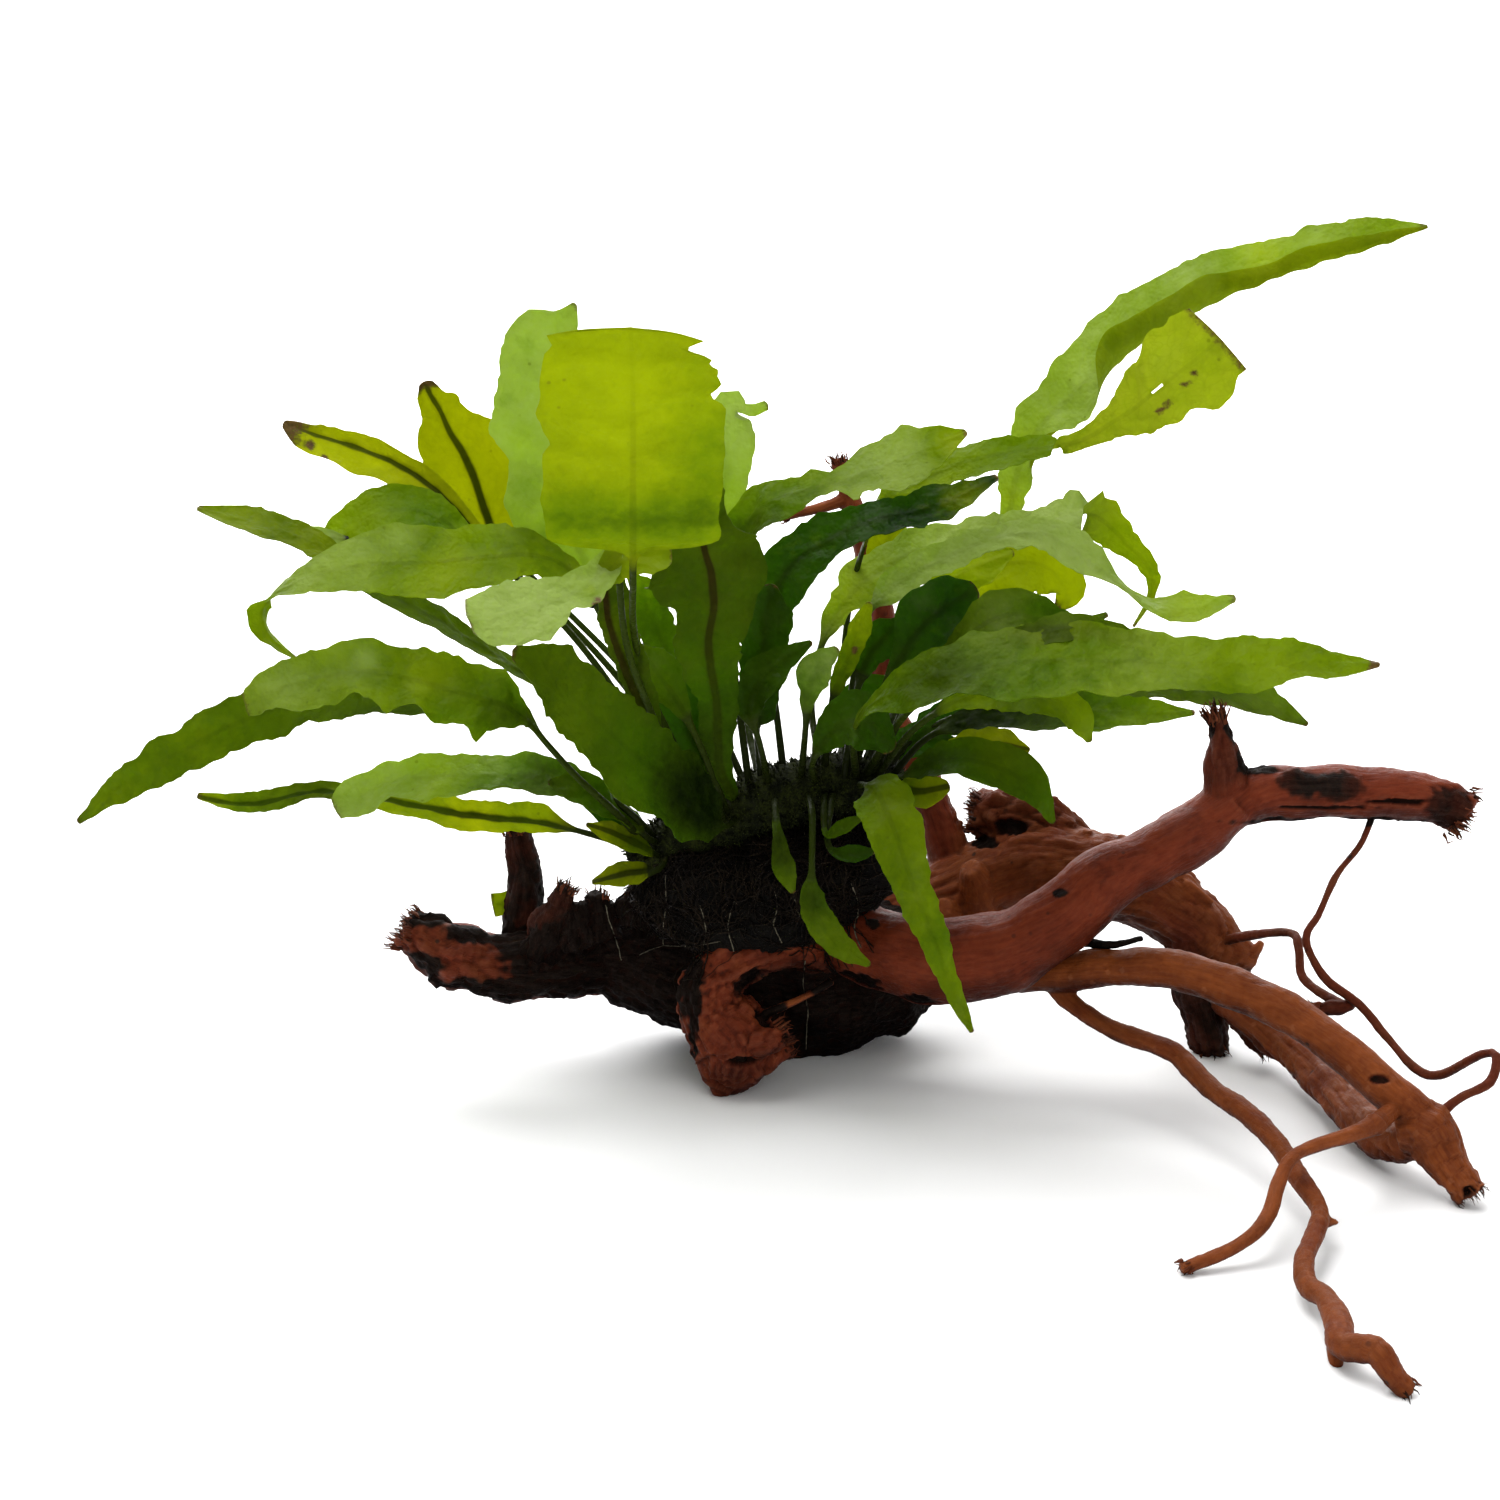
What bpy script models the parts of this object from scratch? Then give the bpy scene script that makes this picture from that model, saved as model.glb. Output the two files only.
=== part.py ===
"""A java fern grown onto a piece of branched, red-brown driftwood.

The wood is parted at its forks: a dark trunk, its limbs, a stump, and the roots that reach
forward to the floor. On top sits the fern: a creeping rhizome over a black mat of roots, and
the leaves, each one solid of its stalk and its blade.

Frame: metres, +Z up, -Y towards the front, +X to the right. The origin is on the floor,
under the middle of the trunk. Places are written as they are seen from the front, as
(across, down) in a 1500 px picture plus a depth in mm behind the stump's foot, because that is
how a branching shape is read. Widths and thicknesses are real sizes in mm.
"""

import math

import bmesh
import bpy
from mathutils import Vector, noise

MM = 0.001

# Driving dimensions.
GAP = 0.3 * MM                # between pieces that meet
STALK_WIDTH = 1.4             # mm
STALK_THICKNESS = 1.2         # mm
RIB_THICKNESS = 0.9           # mm, a blade along its midrib
EDGE_THICKNESS = 0.45         # mm, a blade at its margins
BLADE_FOLD = 0.10             # how far the margins rise, as a share of the blade's width
BARK_ROUGHNESS = 0.16         # lumps, as a share of a limb's radius
BARK_LUMP = 9.0 * MM          # from one lump to the next
FLOOR = 0.0                   # no wood reaches below it

# Where the front view is taken from.
VIEW_DISTANCE = 400 * MM      # in front of the stump's foot
VIEW_HEIGHT = 171 * MM        # above the floor
VIEW_PITCH = math.radians(15)   # looking down
VIEW_FOCAL = 2400             # px
VIEW_CENTRE = 750             # px
ORIGIN_DEPTH = 25 * MM        # the origin's depth behind the stump's foot
ORIGIN_ASIDE = 10 * MM        # and its place to the right of the picture's middle

VIEW_POINT = Vector((-ORIGIN_ASIDE, -VIEW_DISTANCE - ORIGIN_DEPTH, VIEW_HEIGHT))
UP = Vector((0, 0, 1))

# Wood: (across px, down px, depth mm, thickness mm) along the middle of each limb.
TRUNK = [(585, 946, 22, 14), (640, 953, 24, 21), (700, 966, 25, 27), (770, 977, 25, 30),
         (840, 975, 26, 30), (895, 958, 30, 24), (935, 938, 34, 15)]
LIMBS = {
    "left_limb_end": [(640, 958, 24, 12), (560, 965, 18, 12.5), (500, 965, 15, 12),
                      (450, 955, 13, 12), (406, 932, 12, 11)],
    "grey_upright_stub": [(527, 955, 20, 6.5), (523, 910, 21, 6), (519, 870, 22, 5.5),
                          (517, 826, 22, 4.8)],
    "frayed_peg": [(540, 952, 13, 7), (555, 915, 11, 5.5), (568, 886, 10, 3.2)],
    "front_stump": [(845, 950, 20, 9.5), (800, 944, 10, 9), (755, 950, 5, 9.5),
                    (718, 976, 4, 11), (712, 1010, 3, 13), (735, 1040, 2, 16),
                    (730, 1072, 1, 12), (718, 1096, 0, 5)],
    "main_branch": [(835, 915, 18, 12), (870, 945, 10, 14.5), (910, 958, 5, 15),
                    (950, 962, 2, 15), (1000, 952, 0, 14.5), (1050, 925, -1, 13),
                    (1100, 885, -1, 12), (1150, 858, 0, 11), (1200, 828, 2, 11),
                    (1232, 802, 3, 10)],
    "branch_tip": [(1212, 818, 2.5, 7), (1260, 795, 4, 10), (1300, 793, 4, 9.8),
                   (1350, 793, 3, 9.3), (1400, 794, 2, 8.8), (1440, 802, 1, 8.2),
                   (1466, 815, 0, 7.4)],
    "branch_spur": [(1224, 800, 3, 8.5), (1222, 765, 3, 8), (1220, 735, 3, 5),
                    (1220, 714, 3, 3.4)],
    "back_limb": [(890, 925, 34, 15), (960, 895, 34, 17), (1020, 875, 33, 17),
                  (1080, 873, 31, 17), (1135, 885, 29, 16), (1180, 915, 27, 14),
                  (1215, 945, 25, 11.5), (1254, 962, 24, 6)],
    "back_knot": [(1082, 858, 36, 9), (1040, 828, 38, 12), (1000, 818, 39, 11),
                  (970, 812, 40, 7)],
    "tall_back_branch": [(955, 875, 36, 9), (930, 800, 40, 7.5), (905, 745, 42, 7),
                         (885, 700, 44, 6), (882, 612, 45, 5), (865, 550, 46, 4.5),
                         (838, 458, 48, 3)],
    "down_stub": [(1185, 925, 25, 9), (1195, 990, 22, 8.5), (1205, 1030, 21, 8),
                  (1213, 1054, 20, 6)],
    "lower_root_front": [(1020, 972, 6, 7.5), (1070, 972, 1, 7), (1110, 968, -4, 7),
                         (1160, 968, -9, 7), (1210, 980, -14, 7), (1260, 998, -19, 7),
                         (1300, 1020, -24, 6.8), (1340, 1050, -29, 6.8),
                         (1370, 1075, -33, 6.8), (1400, 1100, -36, 6.8),
                         (1428, 1124, -38, 6.4)],
    "lower_root_back": [(1205, 960, 24, 8), (1232, 1000, 18, 7.5), (1268, 1030, 11, 7),
                        (1300, 1056, 3, 7), (1340, 1096, -13, 7), (1380, 1136, -29, 7),
                        (1420, 1140, -37, 6.4)],
    "root_elbow": [(1400, 1131, -36, 7.5), (1427, 1130, -38, 10), (1440, 1151, -40, 8.4),
                   (1452, 1170, -43, 6.4), (1471, 1194, -45, 5.8)],
    "long_front_root": [(1050, 975, 4, 3.6), (1065, 998, 1, 3.6), (1110, 1028, -7, 3.6),
                        (1170, 1050, -15, 3.6), (1190, 1068, -19, 3.6),
                        (1215, 1092, -25, 3.6), (1240, 1108, -30, 3.6),
                        (1265, 1130, -37, 3.7), (1285, 1155, -44, 3.7),
                        (1300, 1180, -51, 3.7), (1320, 1214, -60, 3),
                        (1305, 1258, -72, 3.3), (1307, 1285, -79, 3.4),
                        (1325, 1298, -84, 3.6), (1338, 1322, -91, 4),
                        (1343, 1346, -97, 4), (1375, 1350, -101, 4),
                        (1390, 1370, -103, 3.8), (1408, 1391, -104, 3)],
    "side_rootlet": [(1398, 1106, -37, 2.6), (1376, 1124, -43, 3.2), (1350, 1135, -47, 2.4),
                     (1310, 1148, -51, 2.3), (1290, 1160, -54, 2.3), (1278, 1185, -58, 2.3),
                     (1270, 1212, -62, 2.3), (1255, 1233, -65, 2.2), (1225, 1252, -67, 2.1),
                     (1181, 1269, -69, 2.2)],
    "thin_loop_root": [(1376, 802, 3, 1.8), (1362, 843, 0, 1.6), (1335, 888, -3, 1.6),
                       (1321, 908, -4, 1.6), (1306, 940, -7, 1.6), (1325, 978, -9, 1.6),
                       (1360, 1005, -12, 1.6), (1385, 1035, -16, 1.6),
                       (1415, 1068, -22, 1.6), (1440, 1075, -25, 1.6),
                       (1480, 1055, -31, 1.6), (1496, 1056, -34, 1.6),
                       (1490, 1082, -37, 1.6), (1460, 1098, -38, 1.7),
                       (1436, 1118, -38, 1.8)],
    "thin_hook_root": [(1205, 948, 25, 2.2), (1240, 937, 18, 1.9), (1290, 933, 8, 1.7),
                       (1299, 950, 3, 1.7), (1303, 978, -1, 1.7), (1335, 1001, -8, 1.7),
                       (1354, 1005, -10.8, 1.2)],
}
SIDE_TWIG = [(850, 498, 47, 2.6), (820, 508, 46, 2.2), (783, 517, 45, 1.6)]

TRUNK_SIDES = 12
# Sides of the other limbs, and how finely their curves are parted, where not (8, 2).
SHAPING = {
    "long_front_root": (6, 1), "lower_root_front": (7, 1), "side_rootlet": (5, 1),
    "thin_loop_root": (5, 1), "thin_hook_root": (5, 1), "tall_back_branch": (6, 1),
    "root_elbow": (8, 1),
}
BROKEN = ("left_limb_end", "grey_upright_stub", "frayed_peg", "branch_tip", "branch_spur",
          "back_knot", "down_stub", "root_elbow", "back_limb")
BREAK_DEPTH = 0.9 * MM        # how far a break's splinters stand out or are torn back

# Each piece of wood is cut clear of the ones it grows from.
GROWS_FROM = {
    "left_limb_end": ["trunk"],
    "grey_upright_stub": ["left_limb_end"],
    "frayed_peg": ["left_limb_end"],
    "front_stump": ["trunk"],
    "main_branch": ["trunk", "front_stump"],
    "branch_tip": ["main_branch"],
    "branch_spur": ["main_branch", "branch_tip"],
    "back_limb": ["trunk"],
    "back_knot": ["back_limb"],
    "tall_back_branch": ["back_limb", "back_knot"],
    "down_stub": ["back_limb"],
    "lower_root_front": ["main_branch", "root_elbow"],
    "lower_root_back": ["back_limb", "down_stub", "root_elbow"],
    "root_elbow": [],
    "long_front_root": ["lower_root_front", "main_branch"],
    "side_rootlet": ["lower_root_front", "root_elbow", "lower_root_back"],
    "thin_loop_root": ["branch_tip", "root_elbow"],
    "thin_hook_root": ["back_limb", "thin_loop_root"],
}

# Fern: the rhizome creeps to the right over the mat of its own roots.
RHIZOME = [(632, 856, 9, 6), (660, 848, 8, 9), (700, 832, 7, 10), (745, 810, 6, 10.5),
           (790, 793, 6, 10.5), (840, 785, 6, 10), (880, 786, 6, 9), (905, 792, 6, 6)]
ROOT_MAT = [(640, 880, 9, 8), (670, 885, 9, 17), (715, 888, 8, 22), (770, 886, 8, 23.5),
            (825, 869, 8, 20.5), (866, 853, 8, 17.5), (898, 849, 8.5, 13), (917, 850, 9, 5)]
UNDER_THE_MAT = ("trunk", "front_stump", "main_branch", "back_limb", "left_limb_end",
                 "tall_back_branch")

# Leaves: the place across the rhizome that each grows from, how far its face leans up in degrees
# (negative where the underside shows), its stalk as (across, down, depth), and its blade as
# (across, down, depth, width mm).
LEAVES = {
    "near_broad_leaf": (706, 8, [(676, 750, -4), (648, 690, -14), (634, 632, -28), (633, 580, -46)],
        [(633, 553, -52, 3), (633, 544, -54, 18), (633, 536, -56, 25.5), (633, 520, -58, 25.5),
         (633, 500, -60, 25.5), (633, 460, -64, 25.5), (633, 400, -70, 25.5), (632, 350, -75, 24),
         (631, 328, -77, 22)]),
    "pale_near_leaf": (716, 50, [(680, 775, -5), (652, 715, -14), (628, 650, -26), (620, 590, -36)],
        [(620, 546, -42, 2), (607, 566, -43, 5), (588, 586, -45, 7), (556, 601, -48, 10),
         (522, 610, -50, 13), (490, 617, -51, 11.5), (467, 616, -52, 7)]),
    "front_left_blade": (740, 25, [(727, 826, -5)],
        [(716, 814, -9, 12), (692, 790, -14, 18), (640, 745, -22, 18.5), (590, 705, -28, 14),
         (548, 671, -33, 10), (513, 650, -36, 2.5)]),
    "long_left_leaf": (652, 45, [(618, 815, -5), (578, 778, -10), (548, 745, -14)],
        [(518, 712, -17, 5), (480, 702, -17, 8), (430, 694, -16, 10), (370, 690, -15, 10.5),
         (305, 700, -15, 10), (240, 722, -16, 9), (180, 752, -16, 7.5), (120, 788, -14, 5.5),
         (78, 822, -12, 1)]),
    "low_folded_leaf": (662, 50, [(636, 818, 0), (604, 795, -2)],
        [(575, 783, -2, 6), (525, 776, -3, 9), (450, 776, -3, 10), (390, 783, -3, 9),
         (350, 803, -3, 8), (336, 811, -3, 5)]),
    "low_thin_leaf": (645, -40, [(620, 843, 3), (590, 834, 3)],
        [(540, 822, 4, 7), (480, 816, 5, 8), (420, 806, 5, 8), (360, 794, 5, 6),
         (310, 791, 5, 5), (250, 804, 4, 5), (197, 796, 3, 1.5)]),
    "large_left_leaf": (698, 45, [(662, 750, 0), (625, 670, -4), (596, 606, -7)],
        [(570, 570, -8, 5), (540, 557, -9, 9), (490, 557, -11, 13), (430, 563, -12, 15.5),
         (370, 565, -13, 12), (322, 573, -14, 7.5), (288, 587, -14, 5.5), (268, 600, -13.5, 4.5),
         (261, 616, -13, 5), (270, 638, -12, 5), (297, 659, -10, 1.5)]),
    "thin_left_leaf": (684, 66, [(640, 775, 6), (580, 715, 7)],
        [(515, 668, 6, 4), (440, 622, 4, 7), (380, 590, 2, 7), (325, 552, 0, 7),
         (290, 535, 0, 7.5), (240, 520, 0, 7), (197, 508, 0, 1.5)]),
    "short_arch_leaf": (704, 50, [(660, 765, 11), (600, 670, 12), (535, 595, 12)],
        [(475, 545, 11, 5), (430, 515, 10, 10), (385, 512, 9, 11), (345, 535, 8, 8),
         (325, 567, 7, 1.5)]),
    "brown_tip_leaf": (712, -42, [(668, 750, 15), (620, 680, 18), (545, 600, 21)],
        [(488, 552, 23, 5), (462, 526, 23.5, 7), (430, 494, 24, 8.5), (390, 469, 24, 9.5),
         (345, 451, 23.5, 9.5), (310, 440, 23, 8.5), (293, 431, 22, 5.5), (283, 423, 22, 2)]),
    "knob_tip_leaf": (722, -15, [(682, 740, 21), (620, 665, 27), (545, 590, 31)],
        [(500, 545, 33, 6), (480, 505, 33, 14), (464, 475, 33, 16.5), (448, 440, 33, 13),
         (432, 405, 32, 6), (425, 381, 32, 1.5)]),
    "broad_bluish_leaf": (733, 20, [(695, 740, 7), (645, 655, 3)],
        [(598, 580, 1, 7), (568, 528, 0, 15), (556, 465, -1, 18.5), (552, 405, -2, 18.5),
         (552, 350, -2, 17), (556, 328, -2, 14.5), (566, 316, -2, 6), (575, 303, -2, 1)]),
    "back_hook_leaf": (765, 20, [(742, 705, 22), (716, 610, 26)],
        [(712, 545, 28, 7), (718, 495, 29, 10), (726, 455, 29, 9.5), (728, 425, 29, 9),
         (734, 406, 29, 6.5), (748, 411, 29, 3), (768, 404, 29, 2)]),
    "centre_upright_leaf": (744, 5, [],
        [(722, 776, -3, 4), (718, 740, -5, 6), (719, 690, -9, 6.6), (710, 640, -14, 11.2),
         (712, 600, -17, 13.4), (708, 566, -19, 14.5), (704, 540, -20, 13), (700, 500, -22, 7),
         (696, 450, -23, 6), (692, 408, -23, 1.5)]),
    "green_arch_leaf": (754, 30, [(722, 725, 13), (692, 670, 14)],
        [(675, 635, 14, 4), (660, 600, 13, 6), (642, 578, 12, 6), (624, 600, 11, 2)]),
    "yellow_green_leaf": (672, 45, [(660, 868, 0)],
        [(642, 872, -1, 4), (618, 876, -2, 5), (592, 883, -3, 1.2)]),
    "high_right_leaf": (862, 52, [(905, 690, 22), (955, 600, 29)],
        [(1000, 525, 34, 3), (1015, 470, 35, 7), (1035, 425, 36, 11), (1070, 391, 36, 13),
         (1110, 353, 35, 14.5), (1145, 314, 33, 15), (1200, 290, 31, 13.5), (1260, 264, 28, 11),
         (1320, 244, 25, 8), (1380, 229, 22, 6), (1428, 225, 20, 1)]),
    "bitten_leaf": (846, 45, [(838, 690, 13), (846, 590, 14)],
        [(880, 508, 13, 4), (915, 484, 12, 8), (960, 464, 10, 8), (1010, 453, 8, 7),
         (1055, 446, 5, 5.5), (1092, 436, 2, 5.5), (1126, 415, -2, 7), (1158, 390, -6, 13),
         (1190, 364, -8, 17), (1221, 339, -10, 13.5)]),
    "twisted_right_leaf": (752, 45, [(738, 700, 2), (728, 620, 0)],
        [(727, 575, -1, 4), (742, 532, -3, 7), (765, 505, -5, 10), (800, 492, -6, 7),
         (835, 484, -7, 5), (870, 471, -8, 11), (910, 456, -9, 13.5), (945, 442, -9, 8),
         (967, 432, -9, 1.5)]),
    "dark_arch_leaf": (786, 45, [(776, 700, 10), (784, 630, 9)],
        [(796, 582, 6, 6), (822, 545, 4, 10.5), (868, 522, 3, 9), (905, 514, 2, 6.5),
         (945, 503, 2, 7.5), (998, 477, 1, 1.5)]),
    "pale_arch_leaf": (826, 40, [(812, 715, 18), (817, 660, 20)],
        [(836, 616, 22, 5), (866, 580, 23, 9), (912, 553, 23, 9), (970, 539, 22, 7.5),
         (1030, 527, 20, 7), (1064, 518, 19, 8), (1084, 511, 18.5, 10), (1096, 516, 18, 11.5),
         (1118, 534, 17, 9.5), (1142, 562, 16, 8), (1152, 590, 15, 5), (1133, 627, 14, 0.8)]),
    "pale_droop_leaf": (854, 45, [(851, 700, 7), (866, 620, 9)],
        [(884, 596, 10, 5), (900, 582, 10, 7), (932, 564, 10, 6.5), (1000, 537, 9, 6),
         (1048, 532, 7, 7), (1086, 557, 5, 6.2), (1122, 586, 3, 3.5), (1150, 604, 2, 4.5),
         (1190, 609, 1, 6.5), (1236, 598, -1, 1.5)]),
    "round_hanging_leaf": (870, 25, [(898, 712, 24), (935, 640, 32)],
        [(968, 592, 35, 8), (1005, 565, 36, 14), (1045, 567, 35, 14), (1066, 592, 34, 8),
         (1058, 608, 34, 2)]),
    "back_small_leaf": (836, 10, [(852, 690, 26), (866, 615, 30)],
        [(878, 565, 32, 5), (890, 535, 32, 7), (905, 512, 32, 1.5)]),
    "lime_narrow_leaf": (824, 20, [(829, 720, 0)],
        [(840, 678, -3, 3), (853, 648, -4, 4), (862, 622, -5, 3.5), (870, 602, -5, 1)]),
    "dark_round_leaf": (850, 25, [(872, 715, -5)],
        [(902, 656, -5, 4), (918, 632, -6, 10), (940, 611, -6, 12), (962, 597, -6, 9.5),
         (977, 588, -6, 3)]),
    "dark_curled_leaf": (866, 30, [(905, 712, -9)],
        [(955, 650, -14, 4), (985, 622, -15, 9), (1020, 608, -15, 10), (1055, 609, -15, 10),
         (1082, 616, -14, 4), (1108, 612, -14, 1)]),
    "long_right_leaf": (858, 45, [(853, 738, -11)],
        [(866, 710, -16, 4), (905, 688, -21, 9), (960, 672, -25, 12.5), (1020, 663, -27, 14),
         (1080, 661, -28, 14.5), (1140, 662, -28, 12.5), (1200, 664, -28, 11),
         (1260, 664, -28, 10), (1320, 663, -28, 7.5), (1380, 665, -28, 1)]),
    "down_hook_leaf": (872, 40, [(908, 735, -9)],
        [(960, 700, -14, 4), (1010, 690, -16, 8), (1050, 697, -17, 8), (1078, 716, -17, 6),
         (1090, 742, -17, 1)]),
    "low_right_leaf": (884, 50, [(922, 742, 1)],
        [(960, 724, -1, 5), (1010, 713, -3, 9), (1060, 711, -4, 9), (1120, 712, -5, 8),
         (1195, 713, -6, 1)]),
    "far_right_leaf": (874, 52, [(920, 735, 10), (1000, 700, 13)],
        [(1060, 685, 14, 4), (1120, 680, 13, 8), (1180, 683, 12, 9), (1250, 697, 10, 8),
         (1308, 725, 7, 1)]),
    "shadow_leaf": (880, 45, [(906, 752, 17)],
        [(930, 728, 22, 6), (975, 712, 23, 9), (1020, 707, 23, 8), (1075, 713, 22, 1.5)]),
    "olive_short_leaf": (894, 45, [(920, 764, -5)],
        [(958, 751, -9, 6), (1000, 746, -10, 7), (1030, 750, -10, 1)]),
    "droop_right_leaf": (886, 40, [(896, 779, -8)],
        [(922, 768, -13, 5), (955, 760, -16, 7.5), (992, 766, -17, 8.5), (1026, 783, -17, 7.5),
         (1042, 800, -17, 4.5), (1053, 823, -16, 1)]),
    "hanging_front_leaf": (858, 20, [(864, 785, -9)],
        [(876, 790, -14, 9), (890, 820, -20, 11), (902, 852, -23, 9.2), (912, 882, -25, 6.8),
         (922, 910, -26, 6.2), (941, 960, -27, 4.4), (957, 1000, -27, 2.8), (972, 1032, -26, 0.8)]),
    "small_low_leaf": (806, 10, [(812, 812, -7), (812, 860, -12)],
        [(812, 895, -14, 4), (820, 922, -14, 5.5), (838, 945, -14, 4.5), (870, 965, -14, 1)]),
    "small_bluish_leaf": (800, 25, [(805, 735, -5)],
        [(808, 700, -8, 3), (815, 672, -9, 6), (838, 648, -9, 1.5)]),
    "dark_centre_leaf": (772, 30, [(760, 745, -3)],
        [(750, 705, -3, 5), (770, 670, -4, 7), (812, 642, -5, 1)]),
    "dark_upright_leaf": (764, 15, [(757, 735, 4)],
        [(758, 690, 3, 7), (766, 645, 2, 7), (776, 608, 2, 5), (784, 585, 2, 1)]),
}

# Colour, roughness of each finish.
FINISHES = {
    "red_bark": ((0.23, 0.07, 0.04), 0.55),
    "tan_bark": ((0.36, 0.15, 0.06), 0.6),
    "dark_bark": ((0.03, 0.02, 0.015), 0.75),
    "leaf": ((0.16, 0.34, 0.03), 0.4),
    "dark_leaf": ((0.04, 0.14, 0.02), 0.35),
    "rhizome": ((0.10, 0.11, 0.03), 0.8),
    "hair_roots": ((0.015, 0.012, 0.01), 0.85),
}
DARK_WOOD = ("trunk", "grey_upright_stub", "left_limb_end", "down_stub")
RED_WOOD = ("front_stump", "main_branch", "branch_tip", "branch_spur", "frayed_peg")
DARK_LEAVES = ("front_left_blade", "dark_arch_leaf", "dark_round_leaf", "dark_curled_leaf",
               "shadow_leaf", "droop_right_leaf", "dark_centre_leaf", "dark_upright_leaf")


def seen(across, down, depth):
    """The place seen at a picture point, a depth in mm behind the stump's foot."""
    sideways = (across - VIEW_CENTRE) / VIEW_FOCAL
    upwards = (VIEW_CENTRE - down) / VIEW_FOCAL
    ray = Vector((sideways,
                  math.cos(VIEW_PITCH) + upwards * math.sin(VIEW_PITCH),
                  -math.sin(VIEW_PITCH) + upwards * math.cos(VIEW_PITCH)))
    return VIEW_POINT + ray * (VIEW_DISTANCE + depth * MM) / ray.y


def rows_of(table):
    """A table's rows as lists: x, y, z in metres, then the other numbers as they stand."""
    return [[*seen(*row[:3]), *row[3:]] for row in table]


def smoothed(rows, steps):
    """The rows with steps - 1 more between each two, on a smooth curve through them."""
    last = len(rows) - 1
    smooth = []
    for i in range(last):
        before, start = rows[max(i - 1, 0)], rows[i]
        end, after = rows[i + 1], rows[min(i + 2, last)]
        for step in range(steps):
            t = step / steps
            smooth.append([
                0.5 * (2 * b + (c - a) * t + (2 * a - 5 * b + 4 * c - d) * t * t
                       + (3 * b - a - 3 * c + d) * t ** 3)
                for a, b, c, d in zip(before, start, end, after)])
    return [*smooth, rows[last]]


def directions(points):
    """The unit direction of travel at each point."""
    last = len(points) - 1
    return [(points[min(i + 1, last)] - points[max(i - 1, 0)]).normalized()
            for i in range(last + 1)]


def bent_tube(name, rings, finish):
    """A closed solid: a straight blank whose corners are moved onto the given rings."""
    sides, last = len(rings[0]), len(rings) - 1
    bm = bmesh.new()
    bmesh.ops.create_cone(bm, cap_ends=True, segments=sides, radius1=1, radius2=1, depth=last)
    along = [e for e in bm.edges if abs(e.verts[0].co.z - e.verts[1].co.z) > 0.5]
    if last > 1:
        bmesh.ops.subdivide_edges(bm, edges=along, cuts=last - 1)
    bm.verts.ensure_lookup_table()
    first_angle = math.atan2(bm.verts[0].co.y, bm.verts[0].co.x)
    for corner in bm.verts:
        turn = math.atan2(corner.co.y, corner.co.x) - first_angle
        side = round(turn / (2 * math.pi / sides)) % sides
        corner.co = rings[round(corner.co.z + last / 2)][side]
    mesh = bpy.data.meshes.new(name)
    bm.to_mesh(mesh)
    bm.free()
    mesh.materials.append(finish)
    mesh.shade_smooth()
    mesh.set_sharp_from_angle(angle=math.radians(40))
    solid = bpy.data.objects.new(name, mesh)
    bpy.context.scene.collection.objects.link(solid)
    return solid


def limb_rings(rows, sides, extra):
    """Rings of a limb with bark lumps, extra metres larger than it is all over."""
    points = [Vector(row[:3]) for row in rows]
    across = None
    rings = []
    for point, row, heading in zip(points, rows, directions(points)):
        if across is None:
            across = heading.orthogonal()
        across = (across - heading * across.dot(heading)).normalized()
        over = heading.cross(across)
        ring = []
        for side in range(sides):
            angle = 2 * math.pi * side / sides
            out = across * math.cos(angle) + over * math.sin(angle)
            radius = row[3] * MM / 2
            lump = noise.noise((point + out * radius) / BARK_LUMP)
            reach = out * (radius * (1 + BARK_ROUGHNESS * lump) + extra)
            corner = point + reach
            if not extra:
                corner.z = max(corner.z, FLOOR)
            ring.append(corner)
        rings.append(ring)
    return rings


def cut_clear(solid, cutters, bends_tightly=False):
    """Cuts a solid clear of the pieces it meets, whose sides may fold into a tight bend."""
    for cutter in cutters:
        cut = solid.modifiers.new("clear_of_" + cutter.name, "BOOLEAN")
        cut.operation = "DIFFERENCE"
        cut.solver = "EXACT"
        cut.use_self = bends_tightly
        cut.object = cutter


def as_tool(solid):
    """Marks a solid that only shapes others."""
    solid.hide_render = True
    solid.display_type = "WIRE"
    return solid


def on_rhizome(across):
    """The point of the rhizome's middle line at a place across the picture."""
    for start, end in zip(RHIZOME, RHIZOME[1:]):
        if start[0] <= across <= end[0]:
            share = (across - start[0]) / (end[0] - start[0])
            return seen(*[a + (b - a) * share for a, b in zip(start[:3], end[:3])])
    raise ValueError(f"{across} is past the rhizome's ends")


def leaf_rows(across, stalk, blade):
    """A leaf's rows from the middle of the rhizome to its tip: x, y, z, width in mm."""
    return [[*on_rhizome(across), STALK_WIDTH],
            *[[*seen(*place), STALK_WIDTH] for place in stalk],
            *rows_of(blade)]


def leaf_rings(rows, lean):
    """Rings of six corners: the midrib's two faces, and the two corners of each margin."""
    points = [Vector(row[:3]) for row in rows]
    rings = []
    for point, row, heading in zip(points, rows, directions(points)):
        width = row[3] * MM
        is_stalk = row[3] <= STALK_WIDTH
        middle = (STALK_THICKNESS if is_stalk else RIB_THICKNESS) * MM / 2
        margin = EDGE_THICKNESS * MM / 2
        to_viewer = (VIEW_POINT - point).normalized()
        face = to_viewer * math.cos(math.radians(lean)) + UP * math.sin(math.radians(lean))
        face = (face - heading * face.dot(heading)).normalized()
        side = heading.cross(face)
        rise = face * math.copysign(0 if is_stalk else BLADE_FOLD * width, lean)
        right, left = point + side * width / 2 + rise, point - side * width / 2 + rise
        rings.append([point + face * middle, right + face * margin, right - face * margin,
                      point - face * middle, left - face * margin, left + face * margin])
    return rings


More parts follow.
